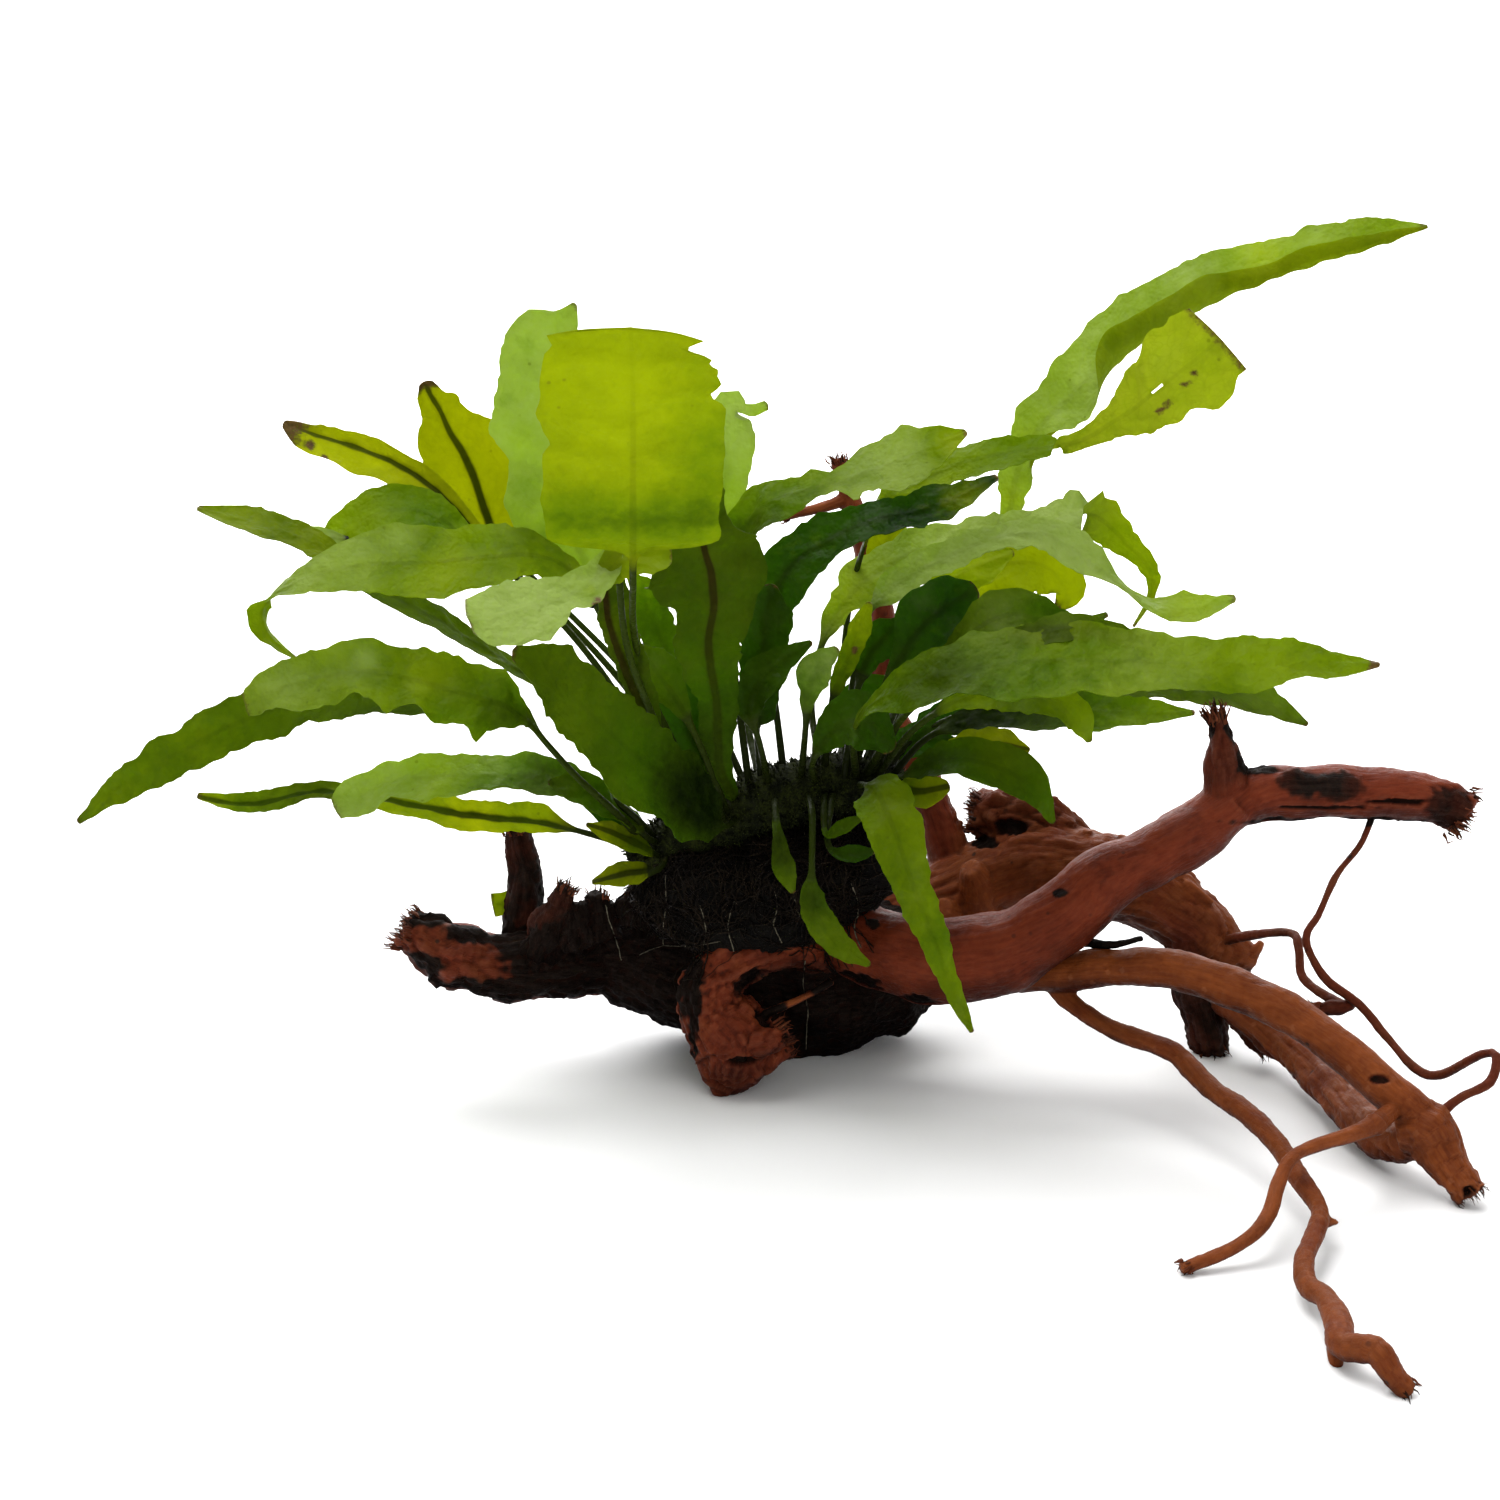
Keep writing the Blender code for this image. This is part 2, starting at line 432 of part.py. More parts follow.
def finish_named(name):
    """The Principled material of a finish."""
    colour, roughness = FINISHES[name]
    material = bpy.data.materials.new(name)
    material.use_nodes = True
    shader = material.node_tree.nodes["Principled BSDF"]
    shader.inputs["Base Color"].default_value = (*colour, 1)
    shader.inputs["Roughness"].default_value = roughness
    shader.inputs["Metallic"].default_value = 0
    return material


def jagged(rings, heading):
    """Breaks the last ring off unevenly."""
    for side, corner in enumerate(rings[-1]):
        corner += heading * ((-1) ** side * BREAK_DEPTH)
        corner.z = max(corner.z, FLOOR)
    return rings


def build_wood(finishes):
    """The trunk and its limbs, each cut clear of what it grows from."""
    trunk_rows = smoothed(rows_of(TRUNK), 2)
    bent_tube("trunk", limb_rings(trunk_rows, TRUNK_SIDES, 0), finishes["dark_bark"])
    tools = {"trunk": as_tool(bent_tube("trunk_clearance",
                                        limb_rings(trunk_rows, TRUNK_SIDES, GAP),
                                        finishes["dark_bark"]))}
    for name, table in LIMBS.items():
        sides, steps = SHAPING.get(name, (8, 2))
        rows = smoothed(rows_of(table), steps)
        finish = finishes["dark_bark" if name in DARK_WOOD
                          else "red_bark" if name in RED_WOOD else "tan_bark"]
        rings = limb_rings(rows, sides, 0)
        if name in BROKEN:
            jagged(rings, directions([Vector(row[:3]) for row in rows])[-1])
        limb = bent_tube(name, rings, finish)
        tools[name] = as_tool(bent_tube(name + "_clearance", limb_rings(rows, sides, GAP),
                                        finish))
        if name == "tall_back_branch":
            twig = as_tool(bent_tube("side_twig", limb_rings(rows_of(SIDE_TWIG), 6, 0),
                                     finish))
            join = limb.modifiers.new("side_twig", "BOOLEAN")
            join.operation = "UNION"
            join.solver = "EXACT"
            join.object = twig
    for name, parents in GROWS_FROM.items():
        cut_clear(bpy.data.objects[name], [tools[parent] for parent in parents], True)
    return tools


def build_fern(finishes, wood_tools):
    """The rhizome, the mat of roots that ties it to the wood, and the leaves."""
    rhizome_rows = smoothed(rows_of(RHIZOME), 2)
    bent_tube("rhizome", limb_rings(rhizome_rows, 8, 0), finishes["rhizome"])
    rhizome_tool = as_tool(bent_tube("rhizome_clearance", limb_rings(rhizome_rows, 8, GAP),
                                     finishes["rhizome"]))
    mat = bent_tube("root_mat", limb_rings(smoothed(rows_of(ROOT_MAT), 2), TRUNK_SIDES, 0),
                    finishes["hair_roots"])
    cut_clear(mat, [rhizome_tool, *[wood_tools[name] for name in UNDER_THE_MAT]])
    for name, (across, lean, stalk, blade) in LEAVES.items():
        finish = finishes["dark_leaf" if name in DARK_LEAVES else "leaf"]
        leaf = bent_tube(name, leaf_rings(leaf_rows(across, stalk, blade), lean), finish)
        cut_clear(leaf, [rhizome_tool])


def main():
    """Builds every piece in an empty scene."""
    for thing in list(bpy.data.objects):
        bpy.data.objects.remove(thing, do_unlink=True)
    finishes = {name: finish_named(name) for name in FINISHES}
    build_fern(finishes, build_wood(finishes))


main()
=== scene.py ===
"""Looks of a java fern grown onto a piece of branched, red-brown driftwood.

Every leaf is one closed skin: a round stalk that flattens into a thin, ruffled blade with a
raised midrib below. The wood is a set of bent limbs melted together at their forks, with bark
worked into the surface and torn fibres at its broken ends. The rhizome carries moss, and the
black mat below it is covered in hair roots.

Metres, +Z up, the front towards -Y, the origin on the floor under the trunk. A place is written
as it is seen from the front: across and down in a 1500 px picture, and its depth in mm behind
the stump's foot. Widths are in mm.
"""

import math
import random

import bmesh
import bpy
from mathutils import Matrix, Vector, kdtree, noise
from mathutils.bvhtree import BVHTree


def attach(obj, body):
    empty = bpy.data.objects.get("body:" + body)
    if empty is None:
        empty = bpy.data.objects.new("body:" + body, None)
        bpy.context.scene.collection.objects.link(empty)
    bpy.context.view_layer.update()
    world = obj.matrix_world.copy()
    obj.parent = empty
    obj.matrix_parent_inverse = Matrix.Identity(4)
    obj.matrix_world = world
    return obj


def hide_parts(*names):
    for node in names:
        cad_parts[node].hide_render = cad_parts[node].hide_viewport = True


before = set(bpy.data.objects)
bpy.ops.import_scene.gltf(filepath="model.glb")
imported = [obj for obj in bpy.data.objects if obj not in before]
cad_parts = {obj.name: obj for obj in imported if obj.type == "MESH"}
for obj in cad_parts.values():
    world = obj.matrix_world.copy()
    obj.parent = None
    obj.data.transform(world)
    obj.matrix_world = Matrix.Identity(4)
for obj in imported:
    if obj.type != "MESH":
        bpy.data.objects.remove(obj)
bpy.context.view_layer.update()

MM = 0.001
UP = Vector((0, 0, 1))

# Where the front view is taken from.
VIEW_DISTANCE = 400 * MM        # in front of the stump's foot
VIEW_HEIGHT = 171 * MM          # above the floor
VIEW_PITCH = math.radians(15)   # looking down
VIEW_FOCAL = 2400               # px
VIEW_CENTRE = 750               # px
ORIGIN_DEPTH = 25 * MM          # how far the origin lies behind the stump's foot
ORIGIN_ASIDE = 10 * MM          # and to the right of the picture's middle
VIEW_POINT = Vector((-ORIGIN_ASIDE, -VIEW_DISTANCE - ORIGIN_DEPTH, VIEW_HEIGHT))
SENSOR = 36                     # mm

# Leaves. A wave or a spacing is a length in metres along the leaf.
STALK_WIDTH = 1.4               # mm
LEAST_WIDTH = 0.5               # mm, of a blade
COLUMNS = 9                     # of faces from the midrib to a margin
COLUMN_CROWDING = 1.2           # above 1, the columns lie closer together at the rib
RING_STEP = 0.85 * MM           # between two rings of a leaf
BLADE_SKIN = 0.13 * MM          # from the middle of a blade to either face
SKIN_TAPER = 0.35               # share of it lost at the margins
RIB_BELOW = 0.34 * MM           # how far the midrib stands out under the blade
RIB_ABOVE = 0.08 * MM
RIB_SPREAD = 0.5 * MM           # half its width
NICK_REACH = 1.3 * MM           # half the length of a nick in a margin
MARGIN_SWING = 0.15             # share of the width that a ragged margin swings by
MARGIN_WAVE = 6.0 * MM
TOOTH_HEIGHT = 0.40 * MM
TOOTH_WAVE = 1.5 * MM
PUCKER_HEIGHT = 0.55 * MM
PUCKER_WAVE = 2.9 * MM
TIP_START = 0.78                # share of the blade where its end starts to round off
SHARP_EDGE = math.radians(60)
# Painted shade: the leaves are darker round the heart of the plant, where they lie in shade.
HEART_SHADE_REACH = 26 * MM            # the leaves are darkest round the heart of the plant
BLADE_MARK = 0.2                # the marks' second value where a blade starts; 1 at its tip
MAP_UNIT = 10                   # mm of leaf for each unit on its map
PLAIN_LOOK = {"tone": "fresh", "ruffle": (0.9, 11), "cup": 14, "end": (0, 0.35),
              "brown": (0.97, 0.5), "spots": (), "curls": (), "nicks": (), "cast": (),
              "rib": 0.0, "shade": (), "uneven": 1.0, "teeth": 1.0}

# Wood and roots.
LUMPS = 0.16                    # how lumpy a limb is, as a share of its radius
LUMP_SIZE = 9 * MM
LIMB_STEP = 1.2 * MM            # between two rings of a limb
GRAIN_STEP = 1.5 * MM           # between two samples of its grain
GRAIN_WIDTH = 1.5 * MM          # across a strand of the grain
GRAIN_LENGTH = 11 * MM          # and along it
FOLD_WIDTH = 3.2 * MM           # likewise of a deep fold
FOLD_LENGTH = 16 * MM
BLEND_REACH = 0.7 * MM          # over which one limb's bark passes into another's
TORN_REACH = 7 * MM             # how far a broken end is ragged
DEEPEST_PATCH = -1.4            # mm
MOSS_LEAFLETS = 2600
LEAFLET_SHAPE = (0, 0.7), (0.5, 1.0), (1.0, 0.15)     # how far along it, and how wide there
LEAFLET_THICKNESS = 0.35        # share of its width
HAIR_ROOTS = 2400
HAIR_RADIUS = (0.07, 0.17)      # mm, the least and the most
HAIR_LIFT = (0.1, 1.0)          # mm that one arches up from what it creeps over
HAIR_STEP = 1.7                 # mm
BARE_STUMP = (700, 800, 932)    # between which px across, and below which, no hair root ends
# A splinter's bark: how red, tan and dark it is, and how much painted shade it takes for facing
# down.
SPLINTER_BARKS = (0.1, 0.5, 0.4, 0), (0.5, 0.2, 0.3, 0), (0.1, 0.2, 0.7, 0)

# The driftwood's limbs: (across px, down px, depth mm, thickness mm) along each one's middle.
TRUNK = [(585, 946, 22, 14), (640, 953, 24, 21), (700, 966, 25, 27), (770, 977, 25, 30),
    (840, 975, 26, 30), (895, 958, 30, 24), (935, 938, 34, 15)]
LIMBS = {
    "left_limb_end": [(640, 958, 24, 12), (560, 965, 18, 12.5), (500, 965, 15, 12),
        (455, 957, 13, 11.6), (426, 942, 12.5, 9.8), (404, 929, 12, 7.5)],
    "grey_upright_stub": [(520, 955, 20, 8.5), (519, 932, 20.5, 7.6), (523, 903, 21, 7),
        (525, 873, 21.5, 6.4), (520, 850, 22, 5.2), (518, 826, 22, 4.4)],
    "frayed_peg": [(540, 952, 13, 7), (555, 915, 11, 5.5), (568, 886, 10, 3.2)],
    "front_stump": [(845, 950, 20, 9.5), (800, 944, 10, 9), (755, 950, 5, 9.5), (718, 976, 4, 11),
        (712, 1010, 3, 13), (736, 1040, 2, 15.6), (729, 1072, 1, 11), (717, 1097, 0, 2.4)],
    "main_branch": [(835, 915, 18, 12), (870, 945, 10, 14.5), (910, 958, 5, 15), (950, 962, 2, 15),
        (1000, 952, 0, 14.5), (1050, 925, -1, 13), (1100, 885, -1, 12), (1150, 858, 0, 11),
        (1200, 828, 2, 11), (1232, 802, 3, 10)],
    "branch_tip": [(1212, 818, 2.5, 7), (1260, 795, 4, 10), (1300, 793, 4, 9.8),
        (1350, 793, 3, 9.3), (1400, 794, 2, 8.8), (1440, 802, 1, 8.2), (1466, 815, 0, 7.4)],
    "branch_spur": [(1224, 800, 3, 8.5), (1224, 768, 3, 7.4), (1221, 738, 3, 4.5),
        (1216, 715, 3, 2.6)],
    "back_limb": [(890, 925, 34, 15), (960, 895, 34, 17), (1020, 875, 33, 17), (1080, 873, 31, 17),
        (1135, 885, 29, 16), (1180, 915, 27, 14), (1215, 945, 25, 11.5), (1254, 962, 24, 6)],
    "back_knot": [(1082, 858, 36, 9), (1040, 828, 38, 12), (1000, 818, 39, 11), (970, 812, 40, 7)],
    "tall_back_branch": [(955, 875, 36, 9), (930, 800, 40, 7.5), (905, 745, 42, 7),
        (885, 700, 44, 6), (882, 612, 45, 5), (865, 550, 46, 4.5), (838, 458, 48, 3)],
    "down_stub": [(1185, 925, 25, 9), (1195, 990, 22, 8.5), (1205, 1030, 21, 8),
        (1213, 1054, 20, 6)],
    "lower_root_front": [(1020, 972, 6, 7.5), (1070, 972, 1, 7), (1110, 968, -4, 7),
        (1160, 968, -9, 7), (1210, 980, -14, 7), (1260, 998, -19, 7), (1300, 1020, -24, 6.8),
        (1340, 1050, -29, 6.8), (1370, 1075, -33, 6.8), (1400, 1100, -36, 6.8),
        (1428, 1124, -38, 6.4)],
    "lower_root_back": [(1205, 960, 24, 8), (1232, 1000, 18, 7.5), (1268, 1030, 11, 7),
        (1300, 1056, 3, 7), (1340, 1096, -13, 7), (1380, 1136, -29, 7), (1420, 1140, -37, 6.4)],
    "root_elbow": [(1400, 1131, -36, 7.5), (1427, 1130, -38, 10), (1440, 1151, -40, 8.4),
        (1452, 1170, -43, 6.4), (1471, 1194, -45, 5.8)],
    "long_front_root": [(1050, 975, 4, 3.6), (1065, 998, 1, 3.6), (1110, 1028, -7, 3.6),
        (1170, 1050, -15, 3.6), (1190, 1068, -19, 3.6), (1215, 1092, -25, 3.6),
        (1240, 1108, -30, 3.6), (1265, 1130, -37, 3.7), (1285, 1155, -44, 3.7),
        (1300, 1180, -51, 3.7), (1320, 1214, -60, 3), (1305, 1258, -72, 3.3),
        (1307, 1285, -79, 3.4), (1325, 1298, -84, 3.6), (1338, 1322, -91, 4), (1343, 1346, -97, 4),
        (1375, 1350, -101, 4), (1390, 1370, -103, 3.8), (1408, 1391, -104, 3)],
    "side_rootlet": [(1398, 1106, -37, 2.6), (1376, 1124, -43, 3.2), (1350, 1135, -47, 2.4),
        (1310, 1148, -51, 2.3), (1290, 1160, -54, 2.3), (1278, 1185, -58, 2.3),
        (1270, 1212, -62, 2.3), (1255, 1233, -65, 2.2), (1225, 1252, -67, 2.1),
        (1181, 1269, -69, 2.2)],
    "thin_loop_root": [(1376, 802, 3, 1.4), (1368, 828, 1, 1.2), (1358, 848, 0, 1.2),
        (1340, 870, -2, 1.2), (1332, 884, -3, 1.3), (1325, 900, -4, 1.2), (1318, 916, -5, 1.2),
        (1306, 940, -7, 1.5), (1325, 978, -9, 1.6), (1360, 1005, -12, 1.6), (1385, 1035, -16, 1.6),
        (1415, 1068, -22, 1.6), (1440, 1075, -25, 1.6), (1480, 1055, -31, 1.6),
        (1496, 1056, -34, 1.6), (1490, 1082, -37, 1.6), (1460, 1098, -38, 1.7),
        (1436, 1118, -38, 1.8)],
    "thin_hook_root": [(1205, 948, 25, 2.2), (1240, 937, 18, 1.9), (1290, 933, 8, 1.7),
        (1299, 950, 3, 1.7), (1303, 978, -1, 1.7), (1335, 1001, -8, 1.7),
        (1354, 1005, -10.8, 1.2)],
}
# Lumps, pegs and twigs too small for solids of their own.
SMALL_LIMBS = {
    "side_twig": [(850, 498, 47, 2.6), (820, 508, 46, 2.2), (783, 517, 45, 1.6)],
    "top_lump": [(600, 930, 15, 9), (598, 906, 13, 6), (596, 893, 13, 3.5)],
    "left_lump": [(575, 940, 13, 8), (577, 915, 11, 5.5), (573, 903, 11, 3.5)],
    "right_lump": [(640, 920, 14, 9), (640, 897, 13, 7), (634, 886, 13, 4)],
    "stump_lip": [(710, 1045, 3, 7), (723, 1076, 0, 6), (752, 1068, -1, 5), (790, 1046, 2, 3)],
    "stump_knob": [(742, 1035, 0, 7), (760, 1042, -3, 6), (785, 1030, -2, 3.5)],
    "orange_twig": [(765, 1014, 0, 1.6), (782, 1007, -2, 1.5), (806, 996, 0, 1.3),
        (832, 981, 3, 1.6)],
    "front_knot": [(980, 900, 30, 12), (974, 876, 27, 6.5), (970, 868, 26, 4)],
    "low_knot": [(955, 925, 32, 12), (946, 912, 26, 6), (942, 908, 24.5, 4)],
    "splinter": [(1168, 880, 27, 4), (1186, 884, 24, 2.2), (1213, 903, 22, 1.0)],
    "small_peg": [(1240, 958, 24, 4), (1256, 950, 22, 2.4), (1262, 941, 22, 1.2)],
    "root_spur": [(1336, 1330, -92, 3), (1336, 1356, -95, 2.4), (1337, 1374, -96.5, 1.4)],
    "root_thorn": [(1318, 1224, -60, 2.4), (1328, 1222, -60, 1.6), (1338, 1222, -60, 0.7)],
    "pale_knot": [(1377, 1122, -43, 3.6), (1372, 1128, -44, 3.4)],
    "frayed_twig": [(1352, 1005, -10.6, 1.6), (1338, 1008, -10, 2.6), (1313, 1009, -9, 2.2)],
    "grey_twig": [(1085, 942, 2, 1.6), (1112, 945, -3, 1.5), (1142, 938, 0, 1.2)],
    "back_bump_left": [(1084, 852, 31, 7), (1086, 838, 31, 4.5), (1088, 829, 31, 2)],
    "back_bump_middle": [(1119, 862, 29, 7), (1121, 845, 29, 4), (1124, 835, 29, 1.5)],
    "back_bump_right": [(1137, 870, 29, 6), (1139, 850, 28.5, 3), (1142, 839, 28, 1.2)],
    "lower_stub": [(1228, 985, 21, 6), (1243, 1012, 18, 6.5), (1258, 1036, 15, 5.5),
        (1268, 1053, 13, 3.5)],
}
LIMB_ROUTES = {"trunk": TRUNK, **SMALL_LIMBS, **LIMBS}
# The height in mm of each bark's lengthwise grain, of its fine wrinkles and of its rough lumps.
BARKS = {"red": (0.10, 0.05, 0.35), "tan": (0.15, 0.07, 0.45), "dark": (0.45, 0.30, 0.75)}
# How much of each limb's bark is red, tan and dark.
RED, TAN, DARK = (1, 0, 0), (0, 1, 0), (0, 0, 1)
PATCHES = {"dark": DARK, "plate": (0.25, 0.05, 0.7)}
LIMB_BARK = {
    **dict.fromkeys(LIMB_ROUTES, TAN),
    **dict.fromkeys(("main_branch", "branch_tip"), RED),
    **dict.fromkeys(("front_stump", "stump_lip", "stump_knob"), (0.75, 0.2, 0.05)),
    "left_limb_end": (0.6, 0.2, 0.2),
    "lower_stub": (0.3, 0.2, 0.5),
    "branch_spur": (0.6, 0, 0.4),
    "frayed_peg": (0.25, 0.1, 0.65),
    "grey_upright_stub": (0.0, 0.2, 0.72),
    **dict.fromkeys(("trunk", "top_lump", "left_lump", "right_lump", "grey_twig"), DARK),
    "down_stub": (0.25, 0.1, 0.65),
    "lower_root_back": (0.2, 0.65, 0.15),
    "back_limb": (0.1, 0.7, 0.2),
    "back_knot": (0.2, 0.45, 0.35),
    "long_front_root": (0.1, 0.75, 0.15),
    "thin_loop_root": (0.45, 0.25, 0.3),
    "thin_hook_root": (0.45, 0.25, 0.3),
    "frayed_twig": (0.3, 0.2, 0.5),
    "tall_back_branch": (0.7, 0.2, 0.1),
}
# Limbs with deep folds along them, in mm.
FOLDS = {"front_stump": 0.8, "stump_lip": 1.0, "stump_knob": 0.8, "left_limb_end": 0.8,
    "frayed_peg": 0.8, "trunk": 0.3, "top_lump": 0.6, "left_lump": 0.6, "right_lump": 0.6,
    "grey_upright_stub": 0.4, "back_limb": 0.5, "back_knot": 1.2, "down_stub": 0.6,
    "lower_stub": 0.8, "lower_root_back": 0.4, "root_elbow": 0.35, "branch_spur": 0.4}
# Places where the bark differs: (across px, down px, half its width and height in px, bark, how
# far it stands out in mm).
BARK_PATCHES = (
    (1303, 784, 26, 16, "plate", 0.35), (1340, 786, 28, 15, "plate", 0.35),
    (1400, 802, 34, 2.6, "dark", -1.1), (1330, 808, 50, 1.8, "dark", -0.5),
    (1258, 770, 20, 6, "dark", 0.3), (1246, 752, 8, 24, "dark", 0.2),
    # The long, thin strip at 1330 across darkens the lower edge of the branch's tip.
    (1330, 822, 110, 5, "dark", 0.0), (1234, 727, 9, 16, "dark", 0.0),
    (1211, 718, 5, 20, "dark", 0.0), (1450, 806, 26, 22, "plate", -0.2),
    (872, 924, 7, 5, "dark", 0.25), (1060, 893, 8, 5, "dark", 0.25),
    (742, 1063, 15, 5, "dark", -1.3), (772, 1012, 18, 14, "dark", -1.3),
    (795, 1030, 12, 18, "dark", -0.8), (693, 985, 8, 60, "dark", 0.0),
    (690, 1050, 6, 30, "dark", 0.0), (765, 985, 30, 16, "dark", -0.9),
    (840, 985, 44, 12, "dark", -0.5), (905, 1003, 34, 8, "dark", -0.4),
    (430, 918, 30, 11, "dark", 0.2), (480, 932, 36, 12, "dark", 0.2),
    (525, 945, 34, 18, "dark", 0.2), (470, 992, 80, 14, "dark", 0.1),
    (570, 970, 64, 46, "dark", 0.0), (418, 968, 26, 16, "dark", 0.0),
    (640, 975, 60, 70, "dark", 0.0), (1012, 826, 18, 8, "dark", -1.2),
    (985, 842, 12, 6, "dark", -0.6), (1379, 1079, 11, 5, "plate", -0.7),
    (1470, 1194, 9, 9, "dark", -1.0),
)
# Each piece of wood: its limbs, the size in metres of the grid it is melted on, and the sides
# of a limb before that.
WOOD_PIECES = {
    "dark_trunk_wood": (("trunk", "left_limb_end", "grey_upright_stub", "frayed_peg",
                         "front_stump", "top_lump", "left_lump", "right_lump", "stump_lip",
                         "stump_knob", "orange_twig"), 0.42 * MM, 28),
    "main_limbs_wood": (("main_branch", "branch_tip", "branch_spur", "back_limb", "back_knot",
                         "down_stub", "tall_back_branch", "side_twig", "front_knot", "low_knot",
                         "splinter", "small_peg", "back_bump_left", "back_bump_middle",
                         "back_bump_right"), 0.46 * MM, 28),
    "forward_roots_wood": (("lower_root_front", "lower_root_back", "root_elbow",
                            "long_front_root", "side_rootlet", "root_spur", "root_thorn",
                            "pale_knot", "lower_stub"), 0.36 * MM, 20),
    "thin_roots_wood": (("thin_loop_root", "thin_hook_root", "frayed_twig", "grey_twig"),
                        0.22 * MM, 12),
}
# Broken ends: how many splinters, and how far they stand out in mm.
TORN_ENDS = {"left_limb_end": (110, 1.6), "grey_upright_stub": (24, 1.0), "frayed_peg": (44, 1.3),
    "branch_tip": (70, 1.5), "branch_spur": (54, 2.4), "back_knot": (60, 1.6),
    "down_stub": (34, 1.4), "root_elbow": (60, 1.6), "tall_back_branch": (30, 1.4),
    "side_twig": (16, 1.0), "frayed_twig": (24, 1.2), "stump_lip": (30, 1.2),
    "stump_knob": (40, 1.4), "long_front_root": (20, 0.9), "side_rootlet": (12, 0.7),
    "top_lump": (16, 0.8), "right_lump": (16, 0.8), "lower_stub": (30, 1.4)}

# The fern: the rhizome creeps to the right over the mat of its own roots.
RHIZOME = [(632, 856, 9, 6), (660, 848, 8, 9), (700, 832, 7, 10), (745, 810, 6, 10.5),
    (790, 793, 6, 10.5), (840, 785, 6, 10), (880, 786, 6, 9), (905, 792, 6, 6)]
ROOT_MAT = [(640, 880, 9, 8), (670, 885, 9, 17), (715, 888, 8, 22), (770, 886, 8, 23.5),
    (825, 869, 8, 20.5), (866, 853, 8, 17.5), (898, 849, 8.5, 13), (917, 850, 9, 5)]
# Pale threads that hang over the mat, as places in the picture: across px, down px.
PALE_THREADS = (
    ((666, 872), (667, 900), (664, 925), (664, 946)),
    ((775, 890), (777, 905), (774, 925), (782, 942)),
    ((793, 893), (796, 905), (800, 918)),
    ((605, 905), (610, 925), (617, 945), (622, 960)),
    ((640, 955), (664, 946), (690, 946), (720, 940)),
    ((805, 960), (803, 985), (808, 1015), (806, 1048)),
    ((808, 815), (804, 828), (806, 838), (811, 845)),
    ((836, 800), (838, 818), (832, 832), (836, 850)),
    ((735, 900), (728, 925), (734, 950)),
    ((850, 880), (858, 905), (855, 930), (862, 948)),
    ((700, 905), (706, 930), (700, 960)),
)

# The room.
FLOOR_REACH = 3.0               # from its middle to each edge
SWEEP_START = 0.7               # how far behind the plant it starts to curve up
SWEEP_RADIUS = 0.8
FLOOR_GAP = 0.05 * MM           # below the wood's lowest point
ROOM_LIGHT = (0.22, 1.0)        # from the front and from behind
LIT_PLACE = (0, 0, 0.07)        # the middle of the plant
# Soft lights: name, place, what it is aimed at, width and height, power.
SOFT_LIGHTS = (("back_window", (-0.05, 0.80, 0.55), LIT_PLACE, (1.3, 0.7), 12.0),
               ("top_light", (-0.20, 0.05, 0.85), LIT_PLACE, (0.6, 0.6), 7.5),
               ("front_fill", (0.35, -0.80, 0.45), LIT_PLACE, (0.8, 0.8), 2.2),
               ("wall_light", (0, 0.85, 1.1), (0, 1.6, 0.5), (1.6, 0.5), 30.0))

